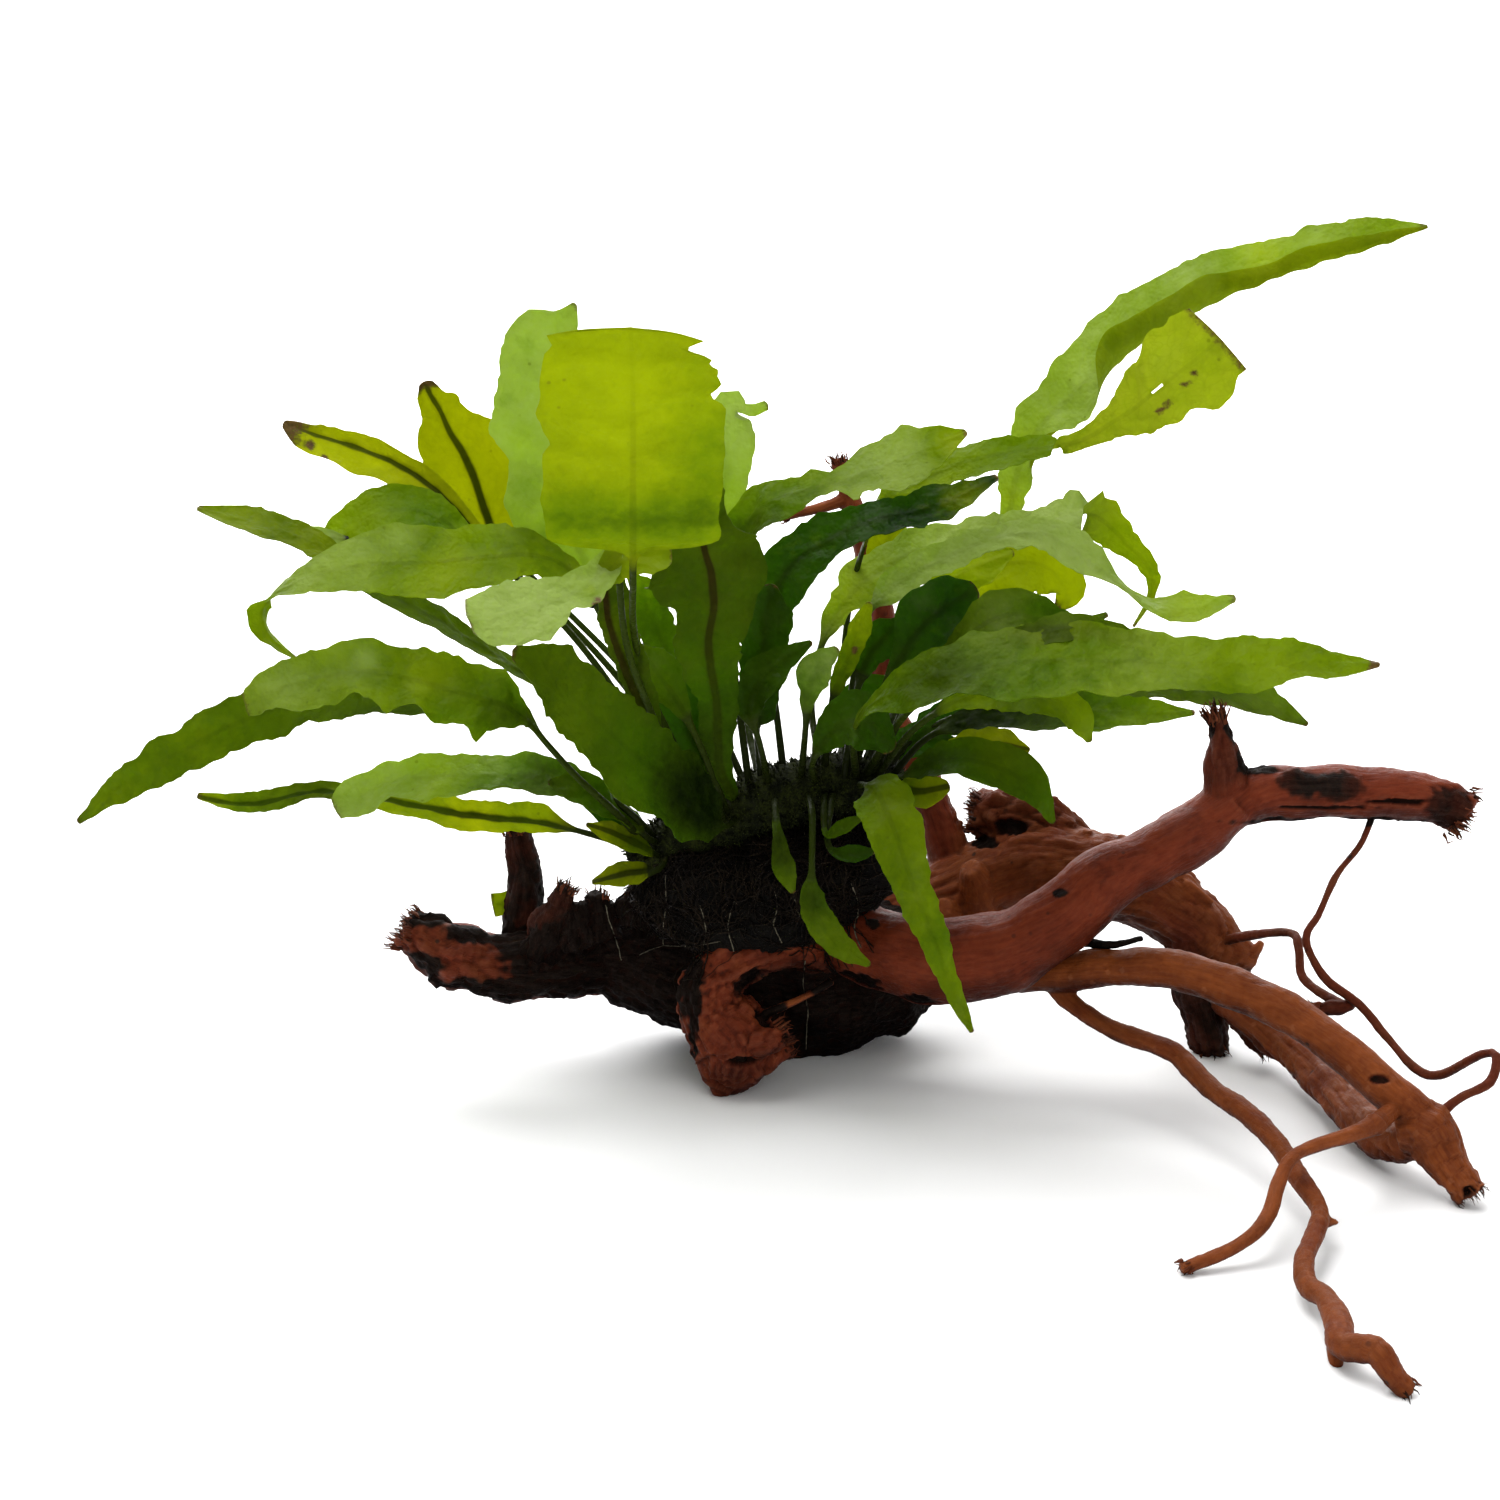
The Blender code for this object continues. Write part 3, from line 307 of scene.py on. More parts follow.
# Leaves: the place across the rhizome that each grows from, how far its face leans up in degrees
# (negative where the underside shows), its stalk as (across, down, depth), and its blade as
# (across, down, depth, width mm), with a roll in degrees where it twists.
LEAVES = {
    "near_broad_leaf": (706, 8, [(676, 750, -4), (648, 690, -14), (634, 632, -28),
        (633, 580, -46)], [(633, 553, -52, 3), (633, 544, -54, 18), (633, 536, -56, 25.5),
        (633, 520, -58, 25.5), (633, 500, -60, 25.5), (633, 460, -64, 25.5), (633, 400, -70, 25.5),
        (632, 350, -75, 24), (631, 328, -77, 22)]),
    "pale_near_leaf": (716, 50, [(680, 775, -5), (652, 715, -14), (628, 650, -26),
        (620, 590, -36)], [(620, 546, -42, 2), (607, 566, -43, 5), (588, 586, -45, 7),
        (556, 601, -48, 10), (522, 610, -50, 13), (490, 617, -51, 11.5), (467, 616, -52, 7)]),
    "front_left_blade": (740, 25, [(727, 826, -5)], [(712, 818, -9, 10), (685, 796, -14, 14.4),
        (633, 754, -22, 15), (586, 710, -28, 12.6), (548, 673, -33, 9.6), (513, 650, -36, 2.5)]),
    "long_left_leaf": (652, 45, [(618, 815, -5), (578, 778, -10), (548, 745, -14)],
        [(518, 712, -17, 5), (480, 702, -17, 8), (430, 694, -16, 10), (370, 690, -15, 10.5),
        (305, 700, -15, 10, -12), (240, 722, -16, 9, -28), (180, 752, -16, 7.5, -30),
        (120, 788, -14, 5.5, -30), (78, 822, -12, 1, -30)]),
    "low_folded_leaf": (662, 50, [(636, 818, 0), (604, 795, -2)], [(575, 783, -2, 6),
        (525, 776, -3, 9), (450, 776, -3, 10), (390, 783, -3, 9), (350, 803, -3, 8),
        (336, 811, -3, 5)]),
    "low_thin_leaf": (645, -40, [(620, 843, 3), (590, 834, 3)], [(540, 822, 4, 7),
        (480, 816, 5, 8), (420, 806, 5, 8), (360, 794, 5, 6), (310, 791, 5, 5), (250, 804, 4, 5),
        (197, 796, 3, 1.5)]),
    "large_left_leaf": (698, 45, [(662, 750, 0), (625, 670, -4), (596, 606, -7)],
        [(570, 570, -8, 5), (540, 557, -9, 9), (490, 557, -11, 13), (430, 563, -12, 15.5),
        (370, 565, -13, 12), (322, 573, -14, 7.5), (288, 587, -14, 5.5, 15),
        (268, 600, -13.5, 4.5, 50), (261, 616, -13, 5, 140), (270, 638, -12, 5, 150),
        (297, 659, -10, 1.5, 150)]),
    "thin_left_leaf": (684, 66, [(640, 775, 6), (580, 715, 7)], [(515, 668, 6, 4),
        (440, 622, 4, 7), (380, 590, 2, 7), (325, 552, 0, 7), (290, 535, 0, 7.5), (240, 520, 0, 7),
        (197, 508, 0, 1.5)]),
    "short_arch_leaf": (704, 50, [(660, 765, 11), (600, 670, 12), (535, 595, 12)],
        [(475, 545, 11, 5), (430, 515, 10, 10), (385, 512, 9, 11), (345, 535, 8, 8),
        (325, 567, 7, 1.5)]),
    "brown_tip_leaf": (712, -42, [(668, 750, 15), (620, 680, 18), (545, 600, 21)],
        [(488, 552, 23, 5), (462, 526, 23.5, 7), (430, 494, 24, 8.5), (390, 469, 24, 9.5),
        (345, 451, 23.5, 9.5), (310, 440, 23, 8.5), (293, 431, 22, 5.5), (283, 423, 22, 2)]),
    "knob_tip_leaf": (722, -15, [(682, 740, 21), (620, 665, 27), (545, 590, 31)],
        [(500, 545, 33, 6), (486, 512, 33, 13.5), (474, 478, 33, 16), (463, 453, 33, 16),
        (450, 432, 33, 13.8), (441, 412, 32.5, 10.4), (431, 396, 32, 6.4), (425, 381, 32, 2.5)]),
    "broad_bluish_leaf": (733, 20, [(695, 740, 7), (645, 655, 3)], [(598, 580, 1, 7),
        (568, 528, 0, 15), (556, 465, -1, 18.5), (552, 405, -2, 18.5), (552, 350, -2, 17),
        (556, 328, -2, 14.5), (566, 316, -2, 6), (575, 303, -2, 1)]),
    "back_hook_leaf": (765, 20, [(742, 705, 22), (716, 610, 26)], [(712, 545, 28, 7),
        (718, 495, 29, 10), (726, 455, 29, 9.5), (728, 425, 29, 9), (734, 406, 29, 6.5),
        (748, 411, 29, 3, 40), (768, 404, 29, 2, 60)]),
    "centre_upright_leaf": (744, 5, [], [(722, 776, -3, 4), (718, 740, -5, 5.6),
        (716, 700, -8, 7.2), (710, 662, -12, 9.8), (709, 635, -15, 11.4), (714, 608, -17, 13.7),
        (713, 588, -18, 16.4), (711, 570, -19, 19.4), (704, 548, -20, 18.8), (700, 520, -21, 10),
        (696, 450, -23, 6), (692, 408, -23, 1.5)]),
    "green_arch_leaf": (754, 30, [(722, 735, 13), (694, 702, 14)], [(678, 674, 14, 4),
        (664, 646, 14, 6.4), (651, 614, 13, 6.6), (640, 588, 12, 5.4), (628, 574, 11, 1.5)]),
    "yellow_green_leaf": (672, 45, [(660, 868, 0)], [(642, 872, -1, 4), (618, 876, -2, 5),
        (592, 883, -3, 1.2)]),
    "high_right_leaf": (862, 40, [(905, 690, 22), (955, 600, 29)], [(1004, 525, 34, 3),
        (1018, 470, 35, 7), (1040, 428, 36, 10), (1075, 392, 36, 13), (1112, 355, 35, 17),
        (1142, 332, 33, 18), (1190, 305, 31, 17), (1240, 283, 29, 15), (1285, 267, 27, 13),
        (1330, 254, 25, 13), (1375, 241, 22.5, 10), (1428, 227, 20, 0.8)]),
    "bitten_leaf": (846, 45, [(842, 690, 27), (852, 590, 27)], [(880, 508, 13, 4),
        (915, 484, 12, 8), (960, 464, 10, 8), (1010, 453, 8, 7), (1054, 447, 5.5, 4.4, -15),
        (1062, 446, 4.5, 3.2, -130), (1088, 438, 2, 3.6, -138), (1110, 424, 0, 5.6, -142),
        (1130, 412, -2, 8, -143), (1158, 390, -6, 13, -145), (1190, 364, -8, 17, -145),
        (1221, 339, -10, 13.5, -145)]),
    "twisted_right_leaf": (752, 45, [(738, 700, 2), (728, 620, 0)], [(727, 575, -1, 4),
        (742, 532, -3, 7), (765, 505, -5, 10), (800, 492, -6, 7), (835, 484, -7, 5),
        (870, 471, -8, 11), (910, 456, -9, 13.5), (945, 442, -9, 8), (967, 432, -9, 1.5)]),
    "dark_arch_leaf": (786, 45, [(776, 710, 10), (768, 665, 9)], [(766, 628, 6.5, 6),
        (775, 594, 6, 10), (795, 563, 5, 11.5), (828, 541, 4, 9.8), (868, 522, 3, 8.4),
        (905, 514, 2, 6.5), (945, 503, 2, 7.5), (998, 477, 1, 1.5)]),
    "pale_arch_leaf": (826, 40, [(812, 715, 18), (817, 660, 20)], [(836, 616, 22, 5),
        (866, 580, 23, 9), (912, 553, 23, 9), (970, 539, 22, 7.5), (1030, 527, 20, 7),
        (1064, 518, 19, 8), (1083, 512, 18.5, 9, -25), (1092, 515, 18, 9.5, -150),
        (1108, 525, 17.5, 7.5, -155), (1126, 542, 17, 5, -150), (1144, 561, 16, 3.6, -150),
        (1153, 580, 15.5, 2.8, -145), (1148, 603, 15, 2, -140), (1133, 627, 14, 0.8, -130)]),
    "pale_droop_leaf": (854, 45, [(851, 700, 7), (866, 620, 9)], [(884, 596, 10, 5),
        (900, 582, 10, 7), (932, 564, 10, 6.5), (1000, 537, 9, 6), (1048, 536, 7, 8),
        (1086, 560, 5, 7), (1122, 586, 3, 3.8, -40), (1150, 604, 2, 4.5, -25), (1190, 609, 1, 6.5),
        (1236, 598, -1, 1.5)]),
    "round_hanging_leaf": (870, 25, [(898, 712, 24), (935, 640, 32)], [(968, 592, 35, 8),
        (1005, 565, 36, 14), (1045, 567, 35, 14), (1066, 592, 34, 8), (1058, 608, 34, 2)]),
    "back_small_leaf": (836, 10, [(852, 690, 26), (866, 615, 30)], [(878, 565, 32, 5),
        (890, 535, 32, 7), (905, 512, 32, 1.5)]),
    "lime_narrow_leaf": (824, 20, [(829, 720, 0)], [(840, 678, -3, 3), (853, 648, -4, 4),
        (862, 622, -5, 3.5), (870, 602, -5, 1)]),
    "dark_round_leaf": (850, 25, [(872, 715, -5)], [(902, 656, -5, 4), (918, 632, -6, 10),
        (940, 611, -6, 12), (962, 597, -6, 9.5), (977, 588, -6, 3)]),
    "dark_curled_leaf": (866, 30, [(905, 712, -9)], [(955, 650, -14, 4), (985, 624, -15, 9),
        (1016, 615, -15, 9), (1050, 623, -15, 7.5), (1080, 625, -14, 3.5), (1108, 614, -14, 1)]),
    "long_right_leaf": (858, 45, [(853, 738, -11)], [(866, 710, -16, 4), (905, 688, -21, 9),
        (960, 672, -25, 12.5), (1020, 663, -27, 14), (1080, 661, -28, 14.5),
        (1140, 662, -28, 12.5), (1200, 664, -28, 11), (1260, 664, -28, 10), (1320, 663, -28, 7.5),
        (1380, 665, -28, 1)]),
    "down_hook_leaf": (872, 40, [(908, 735, -9)], [(960, 700, -14, 4), (1010, 690, -16, 8),
        (1050, 697, -17, 8), (1078, 716, -17, 6), (1090, 742, -17, 1)]),
    "low_right_leaf": (884, 50, [(922, 742, 1)], [(960, 724, -1, 5), (1010, 713, -3, 9),
        (1060, 711, -4, 9), (1120, 712, -5, 8), (1195, 713, -6, 1)]),
    "far_right_leaf": (874, 52, [(920, 735, 10), (1000, 700, 13)], [(1060, 685, 14, 4),
        (1120, 680, 13, 8), (1180, 683, 12, 9), (1250, 697, 10, 8), (1308, 725, 7, 1)]),
    "shadow_leaf": (880, 45, [(906, 752, 17)], [(930, 728, 22, 6), (975, 712, 23, 9),
        (1020, 707, 23, 8), (1075, 713, 22, 1.5)]),
    "olive_short_leaf": (894, 45, [(920, 764, -5)], [(958, 751, -9, 6), (1000, 746, -10, 7),
        (1030, 750, -10, 1)]),
    "droop_right_leaf": (886, 40, [(896, 779, -8)], [(922, 768, -13, 5), (955, 760, -16, 7.5),
        (992, 766, -17, 8.5), (1026, 783, -17, 7.5), (1042, 800, -17, 4.5), (1053, 823, -16, 1)]),
    "hanging_front_leaf": (858, 20, [(864, 785, -9)], [(876, 790, -14, 9), (890, 820, -20, 11),
        (902, 852, -23, 9.2), (912, 882, -25, 6.8), (922, 910, -26, 6.2), (941, 960, -27, 4.4),
        (957, 1000, -27, 2.8), (972, 1032, -26, 0.8)]),
    "small_low_leaf": (806, 10, [(812, 812, -7), (812, 860, -12)], [(812, 895, -14, 4),
        (820, 922, -14, 5.5), (838, 945, -14, 4.5), (870, 965, -14, 1)]),
    "small_bluish_leaf": (800, 25, [(805, 735, -5)], [(808, 700, -8, 3), (815, 672, -9, 6),
        (838, 648, -9, 1.5)]),
    "dark_centre_leaf": (772, 30, [(760, 745, -3)], [(750, 705, -3, 5), (770, 670, -4, 7),
        (812, 642, -5, 1)]),
    "dark_upright_leaf": (764, 15, [(757, 735, 4)], [(759, 715, 3, 5.5), (761, 680, 2, 7),
        (763, 645, 2, 8.4), (766, 618, 2, 8.4), (769, 600, 2, 7), (772, 584, 2, 2)]),
}

# Small leaves that have no solid of their own, in the same form. One that springs from another
# leaf or from the wood has a whole place where it grows from.
SMALL_LEAVES = {
    "small_front_leaf": (835, 15, [(831, 806, -3), (827, 836, -8)], [(833, 851, -10.5, 1.2),
        (853, 855, -13, 3.4), (875, 851, -14, 1)]),
    "tiny_front_leaf": (826, 15, [(824, 806, -4)], [(826, 834, -9.5, 1.2), (843, 826, -11, 2.6),
        (862, 818, -12, 1)]),
    "yellow_scrap": ((514, 904, 22), 20, [], [(510, 904, 21.5, 4.5), (501, 903, 21, 5.2),
        (492, 903, 20.5, 4.6)]),
    "olive_front_leaf": (775, 15, [(775, 805, -3)], [(778, 835, -10, 2), (784, 868, -12, 4),
        (793, 893, -12, 1)]),
    "green_curl_leaf": (728, 20, [(728, 815, 2), (700, 745, -6)], [(678, 702, -9, 4),
        (662, 680, -10, 8), (648, 658, -10, 6.5), (640, 644, -10, 1.5)]),
    "small_dark_leaf": (845, 20, [(845, 775, 2), (855, 700, 3)], [(868, 660, 1, 5),
        (885, 638, 0, 7), (902, 618, 0, 1.5)]),
    "dark_back_leaf": (745, 20, [(745, 800, 12), (715, 760, 18)], [(690, 720, 21, 8),
        (680, 690, 21, 8), (668, 665, 20, 2)]),
    "heart_left_leaf": (722, 15, [(722, 815, -1)], [(704, 768, -3, 5), (691, 735, -4, 8),
        (682, 702, -4, 8), (681, 667, -4, 1.5)]),
    "heart_glossy_leaf": (818, 25, [(812, 765, -6)], [(824, 742, -10, 4), (843, 724, -12, 8.5),
        (868, 724, -13, 10), (893, 750, -13, 3)]),
    "heart_back_leaf": (846, 20, [(846, 765, 13)], [(852, 728, 14, 6), (868, 700, 15, 8.5),
        (902, 680, 15, 2)]),
    "heart_side_leaf": (868, 30, [(880, 768, 8)], [(898, 748, 9, 5), (925, 738, 9, 7),
        (958, 742, 9, 1)]),
    "thin_upper_leaf": (860, 40, [(905, 715, -12), (960, 676, -19)], [(1000, 652, -22, 4),
        (1040, 634, -23, 5), (1080, 628, -23, 5), (1115, 633, -23, 4), (1152, 643, -23, 1)]),
    "yellow_base_leaf": (884, 30, [(890, 796, -8)], [(905, 792, -11, 5), (926, 791, -12, 6.5),
        (950, 786, -12, 2)]),
    "left_fold_leaf": ((528, 724, -18), 30, [], [(516, 714, -20, 5), (495, 703, -21.5, 10),
        (460, 693, -22.5, 12), (420, 682, -23, 11.5), (375, 672, -23, 10.5), (330, 676, -23, 10.5),
        (290, 684, -22.5, 9), (262, 694, -22, 7.5), (246, 706, -21.5, 4)]),
    "base_lobe_leaf": ((590, 606, -42), 20, [], [(603, 580, -43, 3), (620, 563, -44, 6.4),
        (645, 553, -44, 7), (671, 549, -44, 5)]),
    "heart_middle_leaf": (690, 15, [(676, 765, -6), (662, 738, -10)], [(653, 718, -13, 3),
        (640, 690, -18, 4.6), (627, 650, -24, 5.6), (617, 612, -29, 6), (611, 575, -33, 4)]),
    "lime_lobe_leaf": (862, 30, [(882, 700, 19), (912, 630, 24)], [(936, 594, 27, 4),
        (958, 575, 28, 7), (988, 562, 28, 7.5), (1014, 552, 28, 1.5)]),
    "yellow_under_leaf": (655, 35, [(658, 856, 3)], [(646, 849, 0, 3), (628, 840, -1, 4.5),
        (606, 831, -2, 4.5), (586, 824, -2, 1)]),
    "dark_low_leaf": (668, 30, [(656, 848, 4)], [(645, 838, 3, 4), (622, 822, 2, 7),
        (600, 808, 1, 6), (580, 800, 0, 1)]),
    "dark_fold_leaf": (665, 40, [(648, 838, 1)], [(632, 822, 0, 4), (604, 802, -5, 6.5),
        (575, 788, -6, 7), (548, 782, -6, 1)]),
    "pale_fold_leaf": ((347, 540, 7.5), 30, [], [(342, 539, 7, 1.5), (322, 536, 6, 3),
        (297, 527, 5.5, 0.8)]),
}

# How each leaf looks where it isn't like PLAIN_LOOK. Ruffle: height and length of its waves in mm;
# cup: how far each half bends up, in degrees; end: slant and rounding of the tip; brown: from
# which share of the blade, and how much; spots: browned places (across px, down px, radius px);
# curls: (flank, from and to as shares of the blade, from which share outwards, degrees, and if
# given the share over which it starts and stops); nicks: (flank, share of the blade, mm in or
# out); rib: how far the midrib lies to one flank; cast: places of painted light, a pale, bluish
# sheen below 0 and lime light shining through above 0, as (across px, down px, radius px, how
# much); shade: places of painted shade, likewise; uneven and teeth: how ragged the margins are;
# slit: from and to as shares of the blade; below: the underside's tone. Flank 1 is to the right
# of someone who walks up the blade on its face.
LOOKS = {
    "heart_left_leaf": {"tone": "deep"},
    "heart_glossy_leaf": {"tone": "deep", "ruffle": (1.0, 6), "cast": ((850, 730, 14, -0.25),)},
    "heart_back_leaf": {"tone": "deep", "ruffle": (0.8, 6)},
    "heart_side_leaf": {"tone": "deep"},
    "thin_upper_leaf": {"tone": "dusk", "cast": ((1060, 622, 40, -0.3),)},
    "yellow_base_leaf": {"tone": "olive", "shade": ((900, 795, 20, 0.3),)},
    "left_fold_leaf": {"tone": "fresh", "ruffle": (1.6, 6), "cup": 10, "end": (-0.2, 0.1),
        "nicks": ((-1, 0.16, 2.2), (-1, 0.30, 1.0), (-1, 0.38, -0.9), (-1, 0.46, 1.2),
        (-1, 0.60, -1.0), (1, 0.7, -0.8)), "cast": ((280, 688, 36, -0.7), (365, 660, 12, -0.8),
        (430, 672, 30, 0.45), (350, 665, 40, -0.3)), "shade": ((500, 715, 40, 0.55),
        (440, 715, 25, 0.3))},
    "heart_middle_leaf": {"tone": "ribbed", "rib": -0.62, "cast": ((615, 620, 50, 0.16),)},
    "base_lobe_leaf": {"tone": "fresh", "ruffle": (0.6, 8), "cast": ((640, 560, 40, 0.5),),
        "end": (0.1, 0.15)},
    "near_broad_leaf": {"tone": "lime", "ruffle": (0.5, 22), "cup": 4, "end": (-0.1, 0.12),
        "teeth": 0.3, "uneven": 0.3, "brown": (0.99, 0.0), "nicks": ((1, 0.75, -2.2),
        (1, 0.83, -0.9), (1, 0.90, -1.5), (1, 0.97, -4.2), (-1, 0.55, -0.9), (-1, 0.68, 0.5),
        (-1, 0.96, -1.4)), "shade": (*((x, y, 25, 0.17) for x in range(545, 740, 25)
        for y in (508, 532)), (715, 450, 50, 0.36), (700, 370, 30, 0.1))},
    "pale_near_leaf": {"tone": "pale", "ruffle": (1.2, 8), "cup": 6, "end": (0.1, 0.12),
        "nicks": ((1, 0.42, -1.2), (1, 0.62, 1.2), (1, 0.8, -1.0), (-1, 0.5, -1.3),
        (-1, 0.66, 1.2), (-1, 0.84, -0.9)), "cast": ((520, 605, 90, -1.0), (590, 590, 10, 0.9),
        (465, 622, 9, 0.7), (618, 550, 16, 0.5)), "spots": ((597, 602, 5),)},
    "front_left_blade": {"tone": "dusk", "ruffle": (0.8, 10), "cup": 8, "nicks": ((1, 0.85, 1.2),
        (-1, 0.8, 0.8), (1, 0.4, -0.7)), "cast": ((560, 680, 45, 0.1), (532, 687, 5, -0.9)),
        "shade": ((712, 815, 44, 0.5), (680, 790, 40, 0.4), (640, 750, 50, 0.22))},
    "long_left_leaf": {"tone": "dusk", "ruffle": (1.1, 8), "cup": 12,
        "cast": ((110, 800, 50, 0.25), (200, 740, 40, 0.2))},
    "low_folded_leaf": {"tone": "pale", "ruffle": (1.3, 7), "end": (0.1, 0.1),
        "curls": ((-1, 0.1, 0.55, 0.5, 50),), "nicks": ((-1, 0.35, 1.2), (-1, 0.62, 0.9),
        (1, 0.7, -0.6)), "cast": ((350, 800, 30, -0.5), (430, 785, 60, 0.35),
        (400, 770, 24, -0.5)), "shade": ((545, 780, 50, 0.6), (480, 800, 30, 0.4))},
    "low_thin_leaf": {"tone": "olive", "ruffle": (0.8, 8), "shade": ((250, 803, 60, 0.5),
        (330, 795, 50, 0.6), (420, 800, 40, 0.35), (520, 812, 40, 0.3))},
    "large_left_leaf": {"tone": "fresh", "ruffle": (1.2, 9), "cup": 10,
        "cast": ((345, 552, 38, -0.9), (405, 540, 26, -0.9), (440, 570, 50, 0.5),
        (500, 538, 22, -0.4), (300, 580, 30, -0.8), (275, 635, 25, 0.4)),
        "shade": ((480, 590, 24, 0.12), (550, 562, 24, 0.25))},
    "thin_left_leaf": {"tone": "dusk", "ruffle": (0.5, 12), "cast": ((230, 518, 60, 0.5),
        (320, 545, 30, 0.5))},
    "short_arch_leaf": {"tone": "fresh", "ruffle": (0.9, 8), "cast": ((370, 520, 40, 0.3),),
        "shade": ((400, 520, 60, 0.22), (440, 525, 30, 0.3))},
    "brown_tip_leaf": {"tone": "olive", "ruffle": (0.5, 8), "cup": 20, "brown": (0.84, 0.75),
        "rib": -0.45, "teeth": 0.4, "spots": ((310, 445, 5), (325, 458, 4)),
        "curls": ((-1, 0.86, 1.0, 0.3, 120),)},
    "knob_tip_leaf": {"tone": "olive", "ruffle": (0.6, 9), "brown": (0.93, 0.8),
        "nicks": ((1, 0.8, -0.8), (-1, 0.8, -0.8))},
    "broad_bluish_leaf": {"tone": "pale", "ruffle": (1.2, 8), "cup": 10,
        "cast": ((530, 400, 110, -0.55), (522, 440, 14, 0.4), (575, 520, 26, 0.5)),
        "shade": ((506, 400, 9, 0.2), (528, 345, 12, 0.16), (524, 490, 14, 0.22),
        (548, 540, 16, 0.2))},
    "back_hook_leaf": {"tone": "pale", "ruffle": (0.7, 6), "cast": ((730, 425, 55, -0.9),
        (764, 415, 9, 0.9)), "nicks": ((1, 0.86, -1.2), (-1, 0.86, -0.6))},
    "centre_upright_leaf": {"tone": "ribbed", "ruffle": (1.1, 7), "cup": 8,
        "cast": ((720, 420, 60, 0.5),)},
    "green_arch_leaf": {"tone": "fresh", "ruffle": (0.6, 8), "shade": ((655, 620, 60, 0.35),)},
    "yellow_green_leaf": {"tone": "olive"},
    "high_right_leaf": {"tone": "pale", "below": "mossy", "ruffle": (1.3, 10), "cup": 10,
        "curls": ((1, 0.12, 0.28, 0.3, 125), (1, 0.30, 9, 0.0, 168, 0.14)),
        "nicks": ((-1, 0.475, 1.0), (-1, 0.80, 0.8), (-1, 0.88, 0.6)),
        "cast": ((1100, 400, 70, -0.4), (1190, 275, 50, -0.35), (1260, 255, 32, 0.8),
        (1030, 440, 22, 0.4), (1012, 500, 22, 0.6), (1370, 232, 50, 0.8)),
        "shade": ((1370, 232, 45, 0.3),)},
    "bitten_leaf": {"tone": "fresh", "below": "lime", "ruffle": (1.0, 9), "end": (-0.1, 0.05),
        "cup": 10, "slit": (0.798, 0.850), "nicks": ((1, 0.93, -0.8), (1, 0.78, 0.9),
        (-1, 0.86, -0.7)), "spots": ((1160, 411, 4), (1168, 404, 4), (1186, 384, 4),
        (1194, 374, 4)), "cast": ((950, 470, 50, 0.25), (1040, 445, 40, 0.15),
        (1165, 360, 25, -0.3), (1215, 375, 30, 0.2)), "shade": ((1040, 450, 45, 0.3),
        (985, 455, 40, 0.25), (905, 500, 30, 0.2))},
    "twisted_right_leaf": {"tone": "fresh", "ruffle": (1.2, 8), "cup": 16,
        "nicks": ((1, 0.62, 2.2), (-1, 0.5, 0.9)), "cast": ((885, 455, 66, -1.0),
        (950, 440, 28, 1.0), (750, 512, 20, 0.3)), "shade": ((775, 520, 30, 0.4),
        (735, 560, 45, 0.6), (812, 494, 20, 0.35))},
    "dark_arch_leaf": {"tone": "deep", "ruffle": (1.1, 8), "cast": ((790, 540, 30, 0.12),
        (965, 498, 26, 0.5)), "nicks": ((1, 0.72, 1.4),)},
    "pale_arch_leaf": {"tone": "pale", "below": "mossy", "ruffle": (1.3, 6), "teeth": 1.6,
        "cast": ((845, 600, 45, 0.8), (900, 545, 30, 0.3), (965, 530, 60, -1.0),
        (1060, 508, 40, -1.0)), "shade": ((1135, 570, 50, 0.12),)},
    "pale_droop_leaf": {"tone": "pale", "ruffle": (0.9, 8), "cast": ((900, 590, 30, -0.3),
        (970, 550, 50, -1.0), (1050, 540, 80, -1.0), (1190, 608, 40, 0.6))},
    "round_hanging_leaf": {"tone": "lime", "ruffle": (0.8, 7), "brown": (0.94, 0.6),
        "nicks": ((1, 0.7, -0.7), (1, 0.5, 0.7), (-1, 0.8, -0.6))},
    "back_small_leaf": {"tone": "lime"},
    "lime_narrow_leaf": {"tone": "lime", "spots": ((855, 650, 4),)},
    "dark_round_leaf": {"tone": "deep", "ruffle": (0.9, 6), "cup": 22, "end": (0.0, 0.2),
        "cast": ((925, 600, 16, -0.35), (955, 625, 12, -0.25), (935, 622, 34, 0.10))},
    "dark_curled_leaf": {"tone": "dusk", "ruffle": (0.9, 7), "cup": 20,
        "cast": ((1000, 615, 25, -0.6),), "shade": ((1050, 610, 30, 0.5),)},
    "long_right_leaf": {"tone": "fresh", "ruffle": (0.9, 11), "brown": (0.965, 1.0), "cup": 10,
        "cast": ((900, 695, 35, 0.2), (985, 650, 45, -0.35), (1150, 670, 60, -0.4),
        (1300, 665, 60, 0.3)), "shade": ((930, 700, 60, 0.45), (1030, 685, 60, 0.3),
        (960, 660, 50, 0.25), (1100, 650, 40, 0.3), (1330, 665, 70, 0.12))},
    "down_hook_leaf": {"tone": "fresh", "ruffle": (0.7, 8), "cast": ((1060, 700, 30, 0.15),)},
    "low_right_leaf": {"tone": "fresh", "cast": ((1140, 712, 60, 0.15),),
        "shade": ((960, 720, 60, 0.7), (1030, 712, 50, 0.55), (1100, 712, 50, 0.4),
        (1180, 712, 50, 0.2)), "brown": (0.975, 0.7)},
    "far_right_leaf": {"tone": "dusk", "cast": ((1250, 695, 50, -0.3),)},
    "shadow_leaf": {"tone": "deep"},
    "olive_short_leaf": {"tone": "olive"},
    "droop_right_leaf": {"tone": "dusk", "ruffle": (1.2, 7), "cast": ((1000, 765, 25, 0.15),),
        "shade": ((930, 770, 40, 0.6), (1040, 800, 30, 0.35), (985, 790, 25, 0.3))},
